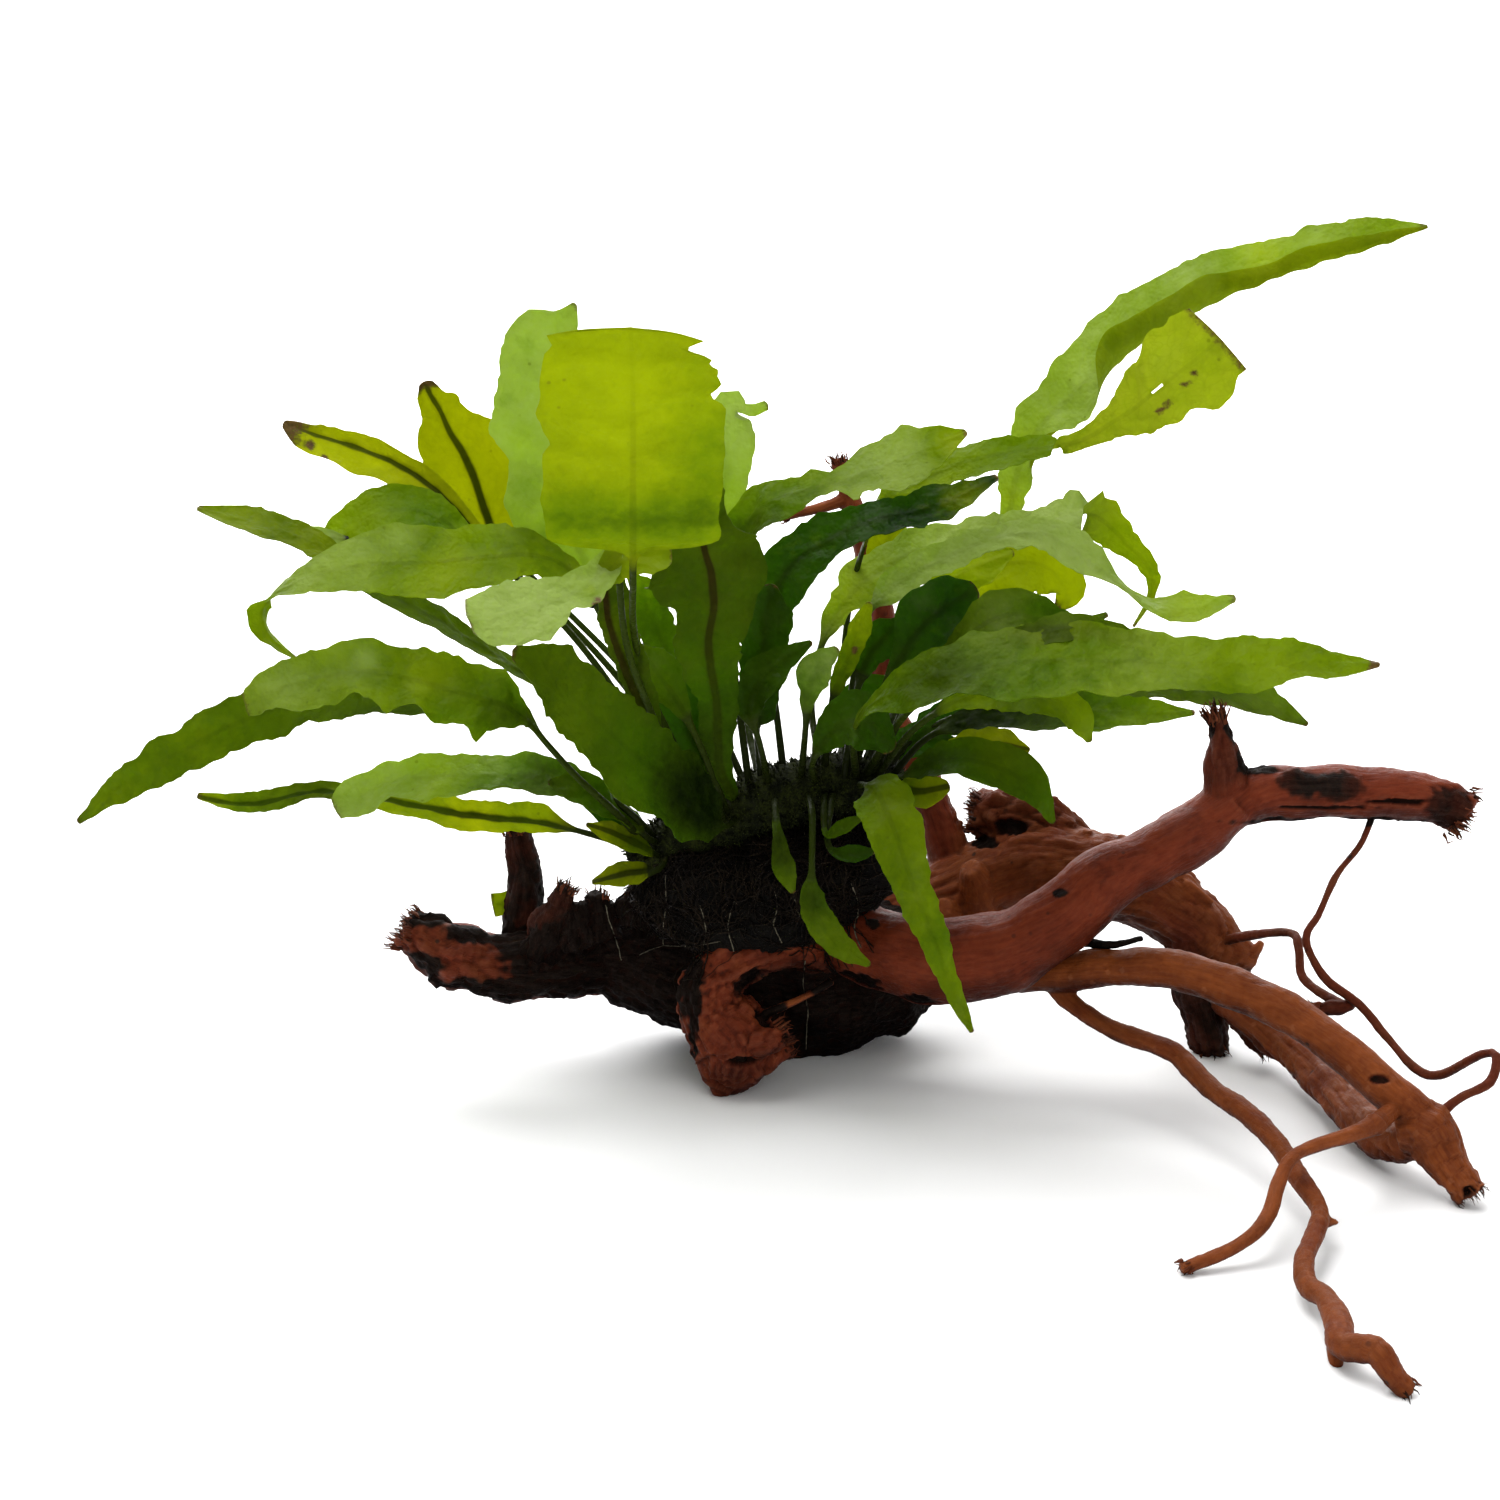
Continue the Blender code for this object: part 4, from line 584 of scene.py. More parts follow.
    "hanging_front_leaf": {"tone": "fresh", "ruffle": (1.0, 6), "cup": 16,
        "cast": ((885, 800, 26, 0.5), (900, 850, 14, -0.3), (915, 880, 12, -0.2),
        (962, 1010, 20, 0.2), (900, 850, 30, 0.2)), "shade": ((935, 945, 34, 0.3),)},
    "small_low_leaf": {"tone": "fresh", "shade": ((812, 900, 25, 0.5), (840, 945, 30, 0.25))},
    "small_bluish_leaf": {"tone": "pale", "cast": ((825, 665, 20, -0.6),)},
    "dark_centre_leaf": {"tone": "deep"},
    "dark_upright_leaf": {"tone": "deep"},
    "small_front_leaf": {"tone": "deep"},
    "tiny_front_leaf": {"tone": "dusk"},
    "yellow_scrap": {"tone": "lime", "end": (0.1, 0.03), "teeth": 2.0,
        "shade": ((503, 904, 16, 0.3),)},
    "olive_front_leaf": {"tone": "fresh", "shade": ((780, 850, 30, 0.45),)},
    "green_curl_leaf": {"tone": "dusk", "ruffle": (1.2, 6), "cast": ((655, 660, 12, -0.4),)},
    "small_dark_leaf": {"tone": "deep"},
    "dark_back_leaf": {"tone": "deep"},
    "pale_fold_leaf": {"tone": "pale", "cast": ((320, 534, 30, -0.6),)},
    "yellow_under_leaf": {"tone": "olive", "shade": ((640, 846, 24, 0.3),)},
    "dark_fold_leaf": {"tone": "dusk", "ruffle": (1.0, 6), "shade": ((600, 800, 40, 0.35),)},
    "dark_low_leaf": {"tone": "deep", "ruffle": (1.0, 6)},
    "lime_lobe_leaf": {"tone": "fresh", "ruffle": (0.8, 7), "cast": ((975, 570, 60, 0.9),)},
}


# ---------------------------------------------------------------- places and curves


def seen(across, down, depth):
    """The place seen at a picture point, a depth in mm behind the stump's foot."""
    sideways = (across - VIEW_CENTRE) / VIEW_FOCAL
    upwards = (VIEW_CENTRE - down) / VIEW_FOCAL
    ray = Vector((sideways,
                  math.cos(VIEW_PITCH) + upwards * math.sin(VIEW_PITCH),
                  -math.sin(VIEW_PITCH) + upwards * math.cos(VIEW_PITCH)))
    return VIEW_POINT + ray * (VIEW_DISTANCE + depth * MM) / ray.y


def pictured(place):
    """Where a place shows in the front view: across and down in px."""
    away = place - VIEW_POINT
    ahead = away.y * math.cos(VIEW_PITCH) - away.z * math.sin(VIEW_PITCH)
    above = away.y * math.sin(VIEW_PITCH) + away.z * math.cos(VIEW_PITCH)
    return (VIEW_CENTRE + VIEW_FOCAL * away.x / ahead,
            VIEW_CENTRE - VIEW_FOCAL * above / ahead)


def rows_of(table):
    """A table's rows as lists: x, y, z in metres, then the other numbers as they stand."""
    return [[*seen(*row[:3]), *row[3:]] for row in table]


def smoothed(rows, steps):
    """The rows with steps - 1 more between each two, on a smooth curve through them."""
    last = len(rows) - 1
    smooth = []
    for i in range(last):
        before, start = rows[max(i - 1, 0)], rows[i]
        end, after = rows[i + 1], rows[min(i + 2, last)]
        for step in range(steps):
            t = step / steps
            smooth.append([
                0.5 * (2 * b + (c - a) * t + (2 * a - 5 * b + 4 * c - d) * t * t
                       + (3 * b - a - 3 * c + d) * t ** 3)
                for a, b, c, d in zip(before, start, end, after)])
    return [*smooth, rows[last]]


def evenly_spaced(rows, spacing):
    """Rows a given distance apart on the smooth curve, and how far along each one lies."""
    fine = smoothed(rows, 10)
    reached = [0.0]
    for one, other in zip(fine, fine[1:]):
        reached.append(reached[-1] + (Vector(other[:3]) - Vector(one[:3])).length)
    count = max(4, round(reached[-1] / spacing))
    even, at = [], 0
    for i in range(count + 1):
        goal = reached[-1] * i / count
        while at < len(fine) - 2 and reached[at + 1] < goal:
            at += 1
        share = (goal - reached[at]) / max(reached[at + 1] - reached[at], 1e-9)
        even.append([a + (b - a) * share for a, b in zip(fine[at], fine[at + 1])])
    return even, [reached[-1] * i / count for i in range(count + 1)]


def directions(points):
    """The unit direction of travel at each point."""
    last = len(points) - 1
    return [(points[min(i + 1, last)] - points[max(i - 1, 0)]).normalized()
            for i in range(last + 1)]


def eased(value, start, end):
    """0 before start, 1 after end, and a soft rise between."""
    share = min(max((value - start) / (end - start), 0), 1)
    return share * share * (3 - 2 * share)


def wander(place, seed):
    """A smooth value between -1 and 1 that wanders as place goes on."""
    return noise.noise(Vector((place, seed * 7.31, seed * 1.7))) * 1.6


def clumps(place, size, shift=(0, 0, 0)):
    """Smooth noise between -1 and 1 at a place, in clumps of a size in mm."""
    return noise.noise(place / (size * MM) + Vector(shift))


def spotted(place, spots, total=0.0):
    """The total and the soft round spots at a place: (across px, down px, radius px, how much)."""
    across, down = pictured(place)
    for middle_across, middle_down, radius, amount in spots:
        away = math.hypot(across - middle_across, down - middle_down) / radius
        total += amount * math.exp(-away * away)
    return total


def axes_across(heading):
    """Two unit directions at right angles to a heading."""
    across = heading.orthogonal().normalized()
    return across, heading.cross(across)


def ring_round(middle, across, over, reach, sides):
    """A ring of places round a middle, from across towards over."""
    turns = [2 * math.pi * side / sides for side in range(sides)]
    return [middle + (across * math.cos(turn) + over * math.sin(turn)) * reach for turn in turns]


# ---------------------------------------------------------------- meshes and pieces


BLANKS = {}


def straight_blank(sides, length):
    """A closed tube with a ring of corners at each unit of its length, as a mesh, and the ring
    and side of each of its corners."""
    if (sides, length) not in BLANKS:
        bm = bmesh.new()
        made = bmesh.ops.create_grid(bm, x_segments=sides, y_segments=length, size=1)["verts"]
        grid = {(round((corner.co.y + 1) / 2 * length),
                 round((corner.co.x + 1) / 2 * sides)): corner for corner in made}
        for (ring, side), corner in grid.items():
            angle = 2 * math.pi * side / sides
            corner.co = (math.cos(angle), math.sin(angle), ring)
        bmesh.ops.weld_verts(bm, targetmap={grid[ring, sides]: grid[ring, 0]
                                            for ring in range(length + 1)})
        bmesh.ops.holes_fill(bm, edges=[edge for edge in bm.edges if edge.is_boundary])
        mesh = as_mesh(bm, "straight_blank")
        order = [(round(corner.co.z),
                  round(math.atan2(corner.co.y, corner.co.x) / (2 * math.pi / sides)) % sides)
                 for corner in mesh.vertices]
        BLANKS[sides, length] = mesh, order
    return BLANKS[sides, length]


def bent_blank(bm, rings):
    """Adds a straight blank to bm and bends it so that its corners lie on the rings. Returns
    them as (corner, ring, side)."""
    blank, order = straight_blank(len(rings[0]), len(rings) - 1)
    first = len(bm.verts)
    bm.from_mesh(blank)
    bm.verts.ensure_lookup_table()
    placed = [(bm.verts[first + number], *spot) for number, spot in enumerate(order)]
    for corner, ring, side in placed:
        corner.co = rings[ring][side]
    return placed


def as_mesh(bm, name):
    """The finished bmesh as a mesh."""
    mesh = bpy.data.meshes.new(name)
    bm.to_mesh(mesh)
    bm.free()
    return mesh


def put_in_scene(name, data):
    """A new object that holds the data."""
    made = bpy.data.objects.new(name, data)
    bpy.context.scene.collection.objects.link(made)
    return made


def as_piece(bm, name, node_names, finishes):
    """The finished mesh as an object that rides on the root and stands for its CAD nodes."""
    mesh = as_mesh(bm, name)
    piece = put_in_scene(name, mesh)
    for finish in finishes:
        mesh.materials.append(finish)
    mesh.shade_smooth()
    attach(piece, "root")
    if node_names:
        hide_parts(*node_names)
    return piece


# ---------------------------------------------------------------- leaves


# The heart of the plant, round which the leaves take painted shade.
SHADED_HEART = seen(775, 735, 2)
# How far out from the midrib each column lies.
COLUMN_SHARES = [(i / COLUMNS) ** COLUMN_CROWDING for i in range(COLUMNS + 1)]
# The way round a ring: (face, flank, column), out along the upper face and back along the lower
# one, then the same for the other flank.
WAY_ROUND = [*(("upper", 1, i) for i in range(COLUMNS + 1)),
             *(("lower", 1, i) for i in range(COLUMNS, 0, -1)),
             *(("lower", -1, i) for i in range(COLUMNS + 1)),
             *(("upper", -1, i) for i in range(COLUMNS, 0, -1))]


def on_rhizome(across):
    """The point of the rhizome's middle line at a place across the picture."""
    for start, end in zip(RHIZOME, RHIZOME[1:]):
        if start[0] <= across <= end[0]:
            share = (across - start[0]) / (end[0] - start[0])
            return seen(*[a + (b - a) * share for a, b in zip(start[:3], end[:3])])
    raise ValueError(f"{across} is past the rhizome's ends")


def leaf_stations(foot, stalk, blade):
    """Rows from where a leaf springs to its tip: x, y, z, width, flatness, roll."""
    foot = seen(*foot) if isinstance(foot, tuple) else on_rhizome(foot)
    rows = [[*foot, STALK_WIDTH, 0.0, 0.0]]
    rows += [[*seen(*place), STALK_WIDTH, 0.0, 0.0] for place in stalk]
    for number, row in enumerate(rows_of(blade)):
        width = row[3]
        roll = row[4] if len(row) > 4 else 0.0
        rows.append([*row[:3], width, 0.75 if number == 0 and stalk else 1.0, roll])
    return evenly_spaced(rows, RING_STEP)


def leaf_face(point, heading, lean, roll):
    """The way a leaf's upper face looks at a point of its midrib."""
    to_viewer = (VIEW_POINT - point).normalized()
    face = to_viewer * math.cos(math.radians(lean)) + UP * math.sin(math.radians(lean))
    face = (face - heading * face.dot(heading)).normalized()
    face = Matrix.Rotation(math.radians(roll), 3, heading) @ face
    return -face if lean < 0 else face


def half_width(width, flank, at, t, length, rib_aside, look):
    """How wide one half of a blade is, with its ragged margin and its nicks."""
    uneven = 1 + MARGIN_SWING * look["uneven"] * wander(at / MARGIN_WAVE, look["seed"] + flank)
    tooth = wander(at / TOOTH_WAVE, look["seed"] + 5 + flank)
    half = width / 2 * uneven * (1 - flank * rib_aside) \
        + TOOTH_HEIGHT * look["teeth"] * tooth * min(1, width / (6 * MM))
    for nick_flank, place, depth in look["nicks"]:
        if nick_flank == flank:
            away = (t - place) * length / NICK_REACH
            half += depth * MM * math.exp(-away * away)
    return max(half, 0.2 * MM)


def half_section(half, cup, curls, t):
    """One half of a blade's cross-section, from midrib to margin: (out, up, slope) at each
    column. A curl bends the outer part by its degrees where t lies in its range."""
    out = up = 0.0
    section = [(0.0, 0.0, 0.0)]
    for inner, outer in zip(COLUMN_SHARES, COLUMN_SHARES[1:]):
        middle = (inner + outer) / 2
        slope = cup * middle
        for start, end, from_share, degrees, *given in curls:
            fade = given[0] if given else (end - start) * 0.35
            here = eased(t, start, start + fade) * (1 - eased(t, end - fade, end))
            slope += math.radians(degrees) * here * eased(middle, from_share, 1)
        out += (outer - inner) * half * math.cos(slope)
        up += (outer - inner) * half * math.sin(slope)
        section.append((out, up, slope))
    return section


def blade_skin(point, heading, face, width, at, t, length, rib_aside, look):
    """The places of a blade's two faces across one ring, by (face, flank, column)."""
    side = heading.cross(face)
    seed = look["seed"]
    height, wave = look["ruffle"]
    slant, rounding = look["end"]
    ends = eased(t, TIP_START, 1.0)
    rib = RIB_BELOW * (1 - 0.6 * max(t, 0)) * min(1, width / (4 * MM))
    skin = {}
    for flank in (1, -1):
        curls = [curl[1:] for curl in look["curls"] if curl[0] == flank]
        section = half_section(half_width(width, flank, at, t, length, rib_aside, look),
                               math.radians(look["cup"]), curls, t)
        for column, (out, up, slope) in enumerate(section):
            share = COLUMN_SHARES[column]
            ruffle = height * MM * min(1, width / (9 * MM)) * share ** 1.6 \
                * wander(at / (wave * MM), seed + 11 * flank)
            pucker = PUCKER_HEIGHT * math.sin(math.pi * min(share * 1.1, 1)) \
                * wander(at / PUCKER_WAVE - share, seed + 3 + flank) \
                * min(1, width / (8 * MM))
            along = (slant * share * flank - rounding * share * share) * width / 2 * ends
            middle = point + side * (flank * out + rib_aside * width / 2) \
                + face * (up + ruffle + pucker) + heading * along
            normal = face * math.cos(slope) - side * (flank * math.sin(slope))
            near_rib = math.exp(-(out / RIB_SPREAD) ** 2)
            thin = BLADE_SKIN * (1 - SKIN_TAPER * share)
            skin["upper", flank, column] = middle + normal * (thin + RIB_ABOVE * near_rib)
            skin["lower", flank, column] = middle - normal * (thin + rib * near_rib)
    return skin


def make_leaf(name, growth, look, finishes):
    """A leaf: its stalk, and its blade with midrib, ruffles, curls and browned places."""
    foot, lean, stalk, blade = growth
    stations, reached = leaf_stations(foot, stalk, blade)
    points = [Vector(row[:3]) for row in stations]
    blade_start = next((s for row, s in zip(stations, reached) if row[4] > 0.5), 0.0)
    length = reached[-1] - blade_start
    blade_shares = [(at - blade_start) / length for at in reached]
    rings = []
    for point, row, at, t, heading in zip(points, stations, reached, blade_shares,
                                          directions(points)):
        width = max(row[3], LEAST_WIDTH) * MM
        flatness = min(max(row[4], 0), 1)
        face = leaf_face(point, heading, lean, row[5])
        skin = blade_skin(point, heading, face, width, at, t, length, look["rib"] * flatness,
                          look)
        stalk_radius = STALK_WIDTH * MM / 2 * (1 - 0.25 * eased(at, 0, blade_start + 1e-6))
        stalk_ring = ring_round(point, face, heading.cross(face), stalk_radius, len(WAY_ROUND))
        rings.append([corner.lerp(skin[spot], eased(flatness, 0.0, 0.8))
                      for corner, spot in zip(stalk_ring, WAY_ROUND)])
    bm = bmesh.new()
    blade_map = bm.loops.layers.uv.new("blade")
    marks = bm.verts.layers.float_color.new("marks")
    where = {}
    for corner, ring, number in bent_blank(bm, rings):
        _, flank, column = WAY_ROUND[number]
        share = flank * COLUMN_SHARES[column]
        width = max(stations[ring][3], STALK_WIDTH)
        t = blade_shares[ring]
        corner[marks] = (browning(corner.co, t, look),
                         BLADE_MARK + (1 - BLADE_MARK) * max(t, -0.25),
                         shade_at(corner.co, look), painted_light_at(corner.co, look))
        where[corner] = (t, WAY_ROUND[number],
                         Vector((0.5 + share * width / 2 / MAP_UNIT,
                                 reached[ring] / (MAP_UNIT * MM))))
    for face in bm.faces:
        below = sum(where[corner][1][0] == "lower" for corner in face.verts)
        face.material_index = 1 if below > len(face.verts) / 2 else 0
        for loop in face.loops:
            loop[blade_map].uv = where[loop.vert][2]
    if "slit" in look:
        cut_slit(bm, where, *look["slit"])
    piece = as_piece(bm, name, look["nodes"], finishes)
    piece.data.set_sharp_from_angle(angle=SHARP_EDGE)


def cut_slit(bm, where, start, end):
    """Cuts a slit along the midrib through both faces of a blade, and walls it round."""
    cut = [face for face in bm.faces
           if all(start <= where[corner][0] <= end
                  and where[corner][1][1:] in ((1, 0), (1, 1), (-1, 0))
                  for corner in face.verts)]
    bmesh.ops.delete(bm, geom=cut, context="FACES")
    bmesh.ops.bridge_loops(bm, edges=[edge for edge in bm.edges if edge.is_boundary])


def painted_light_at(place, look):
    """The painted light at a place: 0 a pale, bluish sheen, 0.5 none, 1 lime shining through."""
    return 0.5 + 0.5 * min(max(spotted(place, look["cast"]), -1), 1)


def shade_at(place, look):
    """The painted shade on the leaf at a place, from 0 to 1: most of all over the rhizome."""
    heart = 0.75 * math.exp(-((place - SHADED_HEART) / HEART_SHADE_REACH).length_squared)
    return min(spotted(place, look["shade"], heart), 1)


def browning(place, t, look):
    """How brown a leaf is at a place: at its tip, and at each of its spots."""
    start, strength = look["brown"]
    browns = [spotted(place, [(*spot, 1)]) for spot in look["spots"]]
    return min(max([strength * eased(t, start, 1.0), *browns]), 1)


def grow_fern(finishes):
    """Every leaf of the fern, large ones in place of their solids, small ones between them."""
    for number, (name, growth) in enumerate({**LEAVES, **SMALL_LEAVES}.items()):
        look = {**PLAIN_LOOK, **LOOKS.get(name, {})}
        tone = look["tone"]
        look["seed"] = number * 3.7 + 1
        look["nodes"] = [name] if name in LEAVES else []
        look["slot"] = "dark_leaf" if tone in ("deep", "dusk", "ribbed") else "leaf"
        make_leaf(name.replace("leaf", "frond").replace("blade", "frond"), growth, look,
                  [finishes[tone + "_above"], finishes[look.get("below", tone) + "_below"]])


# ---------------------------------------------------------------- wood


class Grain:
    """The grain of a set of limbs: for any place, the nearest limb's direction, the distance
    along it, its radius, the share of each bark there, and how deep its folds are."""

    def __init__(self, names):
        self.limbs = []
        for name in names:
            rows, reached = evenly_spaced(rows_of(LIMB_ROUTES[name]), GRAIN_STEP)
            points = [Vector(row[:3]) for row in rows]
            samples = [(point, heading, at, row[3] * MM / 2) for point, row, at, heading
                       in zip(points, rows, reached, directions(points))]
            tree = kdtree.KDTree(len(samples))
            for i, sample in enumerate(samples):
                tree.insert(sample[0], i)
            tree.balance()
            self.limbs.append((tree, samples, (*LIMB_BARK[name], FOLDS.get(name, 0.0))))

    def at(self, place):
        """The nearest limb's sample, the share of each bark, and the folds' depth in mm."""
        found = []
        for tree, samples, bark in self.limbs:
            _, number, distance = tree.find(place)
            found.append((distance - samples[number][3], samples[number], bark))
        nearest = min(found, key=lambda hit: hit[0])
        weights = [math.exp(-(distance - nearest[0]) / BLEND_REACH) for distance, _, _ in found]
        mixed = [sum(weight * bark[i] for weight, (_, _, bark) in zip(weights, found))
                 / sum(weights) for i in range(4)]
        return nearest[1], dict(zip(BARKS, mixed)), mixed[3]


def add_limb(bm, table, spacing, sides):
    """Adds a limb along a table's rows to bm, a tube with a lumpy radius."""
    rows, _ = evenly_spaced(rows_of(table), spacing)
    points = [Vector(row[:3]) for row in rows]
    across = None
    rings = []
    for point, row, heading in zip(points, rows, directions(points)):
        across = heading.orthogonal() if across is None else across
        across = (across - heading * across.dot(heading)).normalized()
        over = heading.cross(across)
        radius = row[3] * MM / 2
        ring = []
        for number in range(sides):
            angle = 2 * math.pi * number / sides
            out = across * math.cos(angle) + over * math.sin(angle)
            lump = noise.noise((point + out * radius) / LUMP_SIZE)
            ring.append(point + out * radius * (1 + LUMPS * lump))
        rings.append(ring)
    bent_blank(bm, rings)


def melted_together(bm, voxel):
    """The limbs in bm as one skin without inner walls."""
    mesh = as_mesh(bm, "limbs")
    blank = put_in_scene("limbs", mesh)
    remesh = blank.modifiers.new("melt", "REMESH")
    remesh.mode = "VOXEL"
    remesh.voxel_size = voxel
    graph = bpy.context.evaluated_depsgraph_get()
    skin = bpy.data.meshes.new_from_object(blank.evaluated_get(graph))
    melted = bmesh.new()
    melted.from_mesh(skin)
    bpy.data.objects.remove(blank)
    bpy.data.meshes.remove(mesh)
    bpy.data.meshes.remove(skin)
    return melted


def patched(place, facing, barks):
    """The barks at a place with the patches that lie there, and how far they stand out."""
    if facing < 0.1:
        return barks, 0.0
    across, down = pictured(place)
    lift = 0.0
    ragged = 0.25 * clumps(place, 1.3) + 0.2 * clumps(place, 4)
    for middle_across, middle_down, half_across, half_down, bark, height in BARK_PATCHES:
        away = math.hypot((across - middle_across) / half_across,
                          (down - middle_down) / half_down)
        if away > 2:
            continue
        share = 1 - eased(away + ragged, 0.75, 1.15)
        if share > 0:
            barks = {name: value * (1 - share) + patch * share
                     for (name, value), patch in zip(barks.items(), PATCHES[bark])}
            lift += height * share
    return barks, max(lift, DEEPEST_PATCH)


def work_bark(bm, grain, limbs):
    """Presses the grain, wrinkles, lumps and patches into the skin, breaks up the torn ends, and
    notes each corner's place in the grain, its bark, and how far it faces down, which the
    finish turns into painted shade."""
    flow = bm.verts.layers.float_vector.new("grain")
    tone = bm.verts.layers.float_color.new("bark")
    bm.normal_update()
    ends = [Vector(rows_of(LIMB_ROUTES[name])[-1][:3]) for name in TORN_ENDS if name in limbs]
    moves = []
    for corner in bm.verts:
        spot = corner.co
        (middle, heading, at, radius), barks, folds = grain.at(spot)
        facing = corner.normal.dot((VIEW_POINT - spot).normalized())
        # How far the corner faces down, which the finish turns into painted shade below.
        under = eased(-corner.normal.z + 0.3 * clumps(spot, 5), -0.2, 0.9)
        barks, lift = patched(spot, facing, barks)
        away = spot - middle
        around = away - heading * away.dot(heading)
        out = around.normalized() if around.length > 1e-6 else corner.normal
        place = out * radius / GRAIN_WIDTH + heading * (at + away.dot(heading)) / GRAIN_LENGTH
        corner[flow] = place * 0.1
        corner[tone] = (*(barks[bark] for bark in BARKS), under)
        lengthwise, wrinkles, lumps = (sum(share * BARKS[bark][i] for bark, share
                                           in barks.items()) for i in range(3))
        ridge = noise.noise(place * 0.8)
        groove = -abs(noise.noise(place * 0.55 + Vector((7, 3, 1)))) + 0.25
        lump = clumps(spot, 4.5, (3, 9, 4)) - 0.6 * abs(clumps(spot, 2.2, (1, 5, 2)))
        torn = max((1 - (spot - end).length / TORN_REACH for end in ends), default=0)
        fold = abs(noise.noise(out * radius / FOLD_WIDTH + heading * at / FOLD_LENGTH
                               + 0.3 * spot / (3 * MM))) - 0.25
        # Thin limbs take less of each.
        reach, slim = min(1, radius / (4.5 * MM)), min(1, radius / (2 * MM))
        height = reach * (lengthwise * (0.5 * ridge + groove) + lumps * lump) \
            + folds * min(1, radius / (3 * MM)) * 2.2 * fold \
            + slim * wrinkles * clumps(spot, 1.1) + slim ** 3 * lift \
            + max(torn, 0) * reach * (1.5 * clumps(spot, 1.9) + 1.0 * clumps(spot, 0.9))
        moves.append((corner, corner.normal * height * MM))
    for corner, move in moves:
        corner.co += move
        corner.co.z = max(corner.co.z, 0)


def any_way(chance, most):
    """A random vector, each of its numbers up to most either way."""
    return Vector([chance.uniform(-most, most) for _ in range(3)])


def torn_end(bm, name, count, length, seed):
    """Splinters and fibres that stand out of a limb's broken end."""
    chance = random.Random(seed)
    *_, before, end = rows_of(LIMB_ROUTES[name])
    radius = end[3] * MM / 2
    end, before = Vector(end[:3]), Vector(before[:3])
    heading = (end - before).normalized()
    across = heading.orthogonal()
    over = heading.cross(across)
    tone = bm.verts.layers.float_color["bark"]
    flow = bm.verts.layers.float_vector["grain"]
    for _ in range(count):
        angle = chance.uniform(0, 2 * math.pi)
        out = across * math.cos(angle) + over * math.sin(angle)
        share = math.sqrt(chance.random())
        foot = end - heading * chance.uniform(0.6, 1.8) * MM + out * radius * share * 0.92
        stretch = chance.uniform(0.35, 1) * length * MM
        lean = (heading + out * chance.uniform(0.0, 0.35) * share
                + any_way(chance, 1) * 0.18).normalized()
        thick = chance.uniform(0.10, 0.34) * MM
        rings = []
        for step in range(4):
            t = step / 3
            middle = foot + lean * (stretch + 1.2 * MM) * t \
                + (out * chance.uniform(-0.5, 0.7) + across * chance.uniform(-0.5, 0.5)) \
                * (t * t) * MM
            rings.append(ring_round(middle, across, over, thick * (1 - 0.8 * t), 4))
        shade = chance.choice(SPLINTER_BARKS)
        for corner, _, _ in bent_blank(bm, rings):
            corner.co.z = max(corner.co.z, 0)
            corner[tone] = shade
            corner[flow] = corner.co / (8 * MM)


def make_wood(finishes):
    """The driftwood: stout limbs, dark trunk and forward roots, each melted into one skin."""
    for piece_name, (limbs, voxel, sides) in WOOD_PIECES.items():
        bm = bmesh.new()
        for name in limbs:
            add_limb(bm, LIMB_ROUTES[name], LIMB_STEP, sides)
        bm = melted_together(bm, voxel)
        work_bark(bm, Grain(limbs), limbs)
        for number, (name, (count, length)) in enumerate(TORN_ENDS.items()):
            if name in limbs:
                torn_end(bm, name, count, length, 40 + number)
        nodes = [name for name in limbs if name not in SMALL_LIMBS]
        as_piece(bm, piece_name, nodes, [finishes["bark"]])


# ---------------------------------------------------------------- rhizome and roots


def make_rhizome(finishes):
    """The creeping stem, lumpy with old scars, under a coat of moss."""
    bm = bmesh.new()
    add_limb(bm, RHIZOME, 0.8 * MM, 32)
    bm.normal_update()
    for corner in bm.verts:
        lump = clumps(corner.co, 3.2) + 0.5 * clumps(corner.co, 1.2)
        corner.co += corner.normal * lump * 0.5 * MM
    surface = BVHTree.FromBMesh(bm)
    chance = random.Random(5)
    spots = [corner.co.copy() for corner in bm.verts]
    for _ in range(MOSS_LEAFLETS):
        foot = chance.choice(spots)
        foot = foot + Vector([chance.uniform(-0.5, 0.5) * MM for _ in range(3)])
        hit, normal, _, _ = surface.find_nearest(foot)
        lean = (normal + any_way(chance, 0.8)).normalized()
        across, over = axes_across(lean)
        length, width = chance.uniform(0.7, 1.7) * MM, chance.uniform(0.14, 0.3) * MM
        bent_blank(bm, [[hit - lean * 0.2 * MM + lean * length * t
                         + (across * math.cos(a) + over * math.sin(a) * LEAFLET_THICKNESS)
                         * width * wide
                         for a in (0, math.pi / 2, math.pi, 3 * math.pi / 2)]
                        for t, wide in LEAFLET_SHAPE])
    as_piece(bm, "mossy_rhizome", ["rhizome"], [finishes["moss"]])


def make_root_mat(finishes):
    """The dense black mat of roots."""
    bm = bmesh.new()
    add_limb(bm, ROOT_MAT, 1.0 * MM, 48)
    bm = melted_together(bm, 0.5 * MM)
    bm.normal_update()
    for corner in bm.verts:
        lump = clumps(corner.co, 4) + 0.6 * clumps(corner.co, 1.6) \
            - 0.5 * abs(clumps(corner.co, 0.9))
        corner.co += corner.normal * lump * 0.9 * MM
    as_piece(bm, "root_mat_core", ["root_mat"], [finishes["root_mat"]])


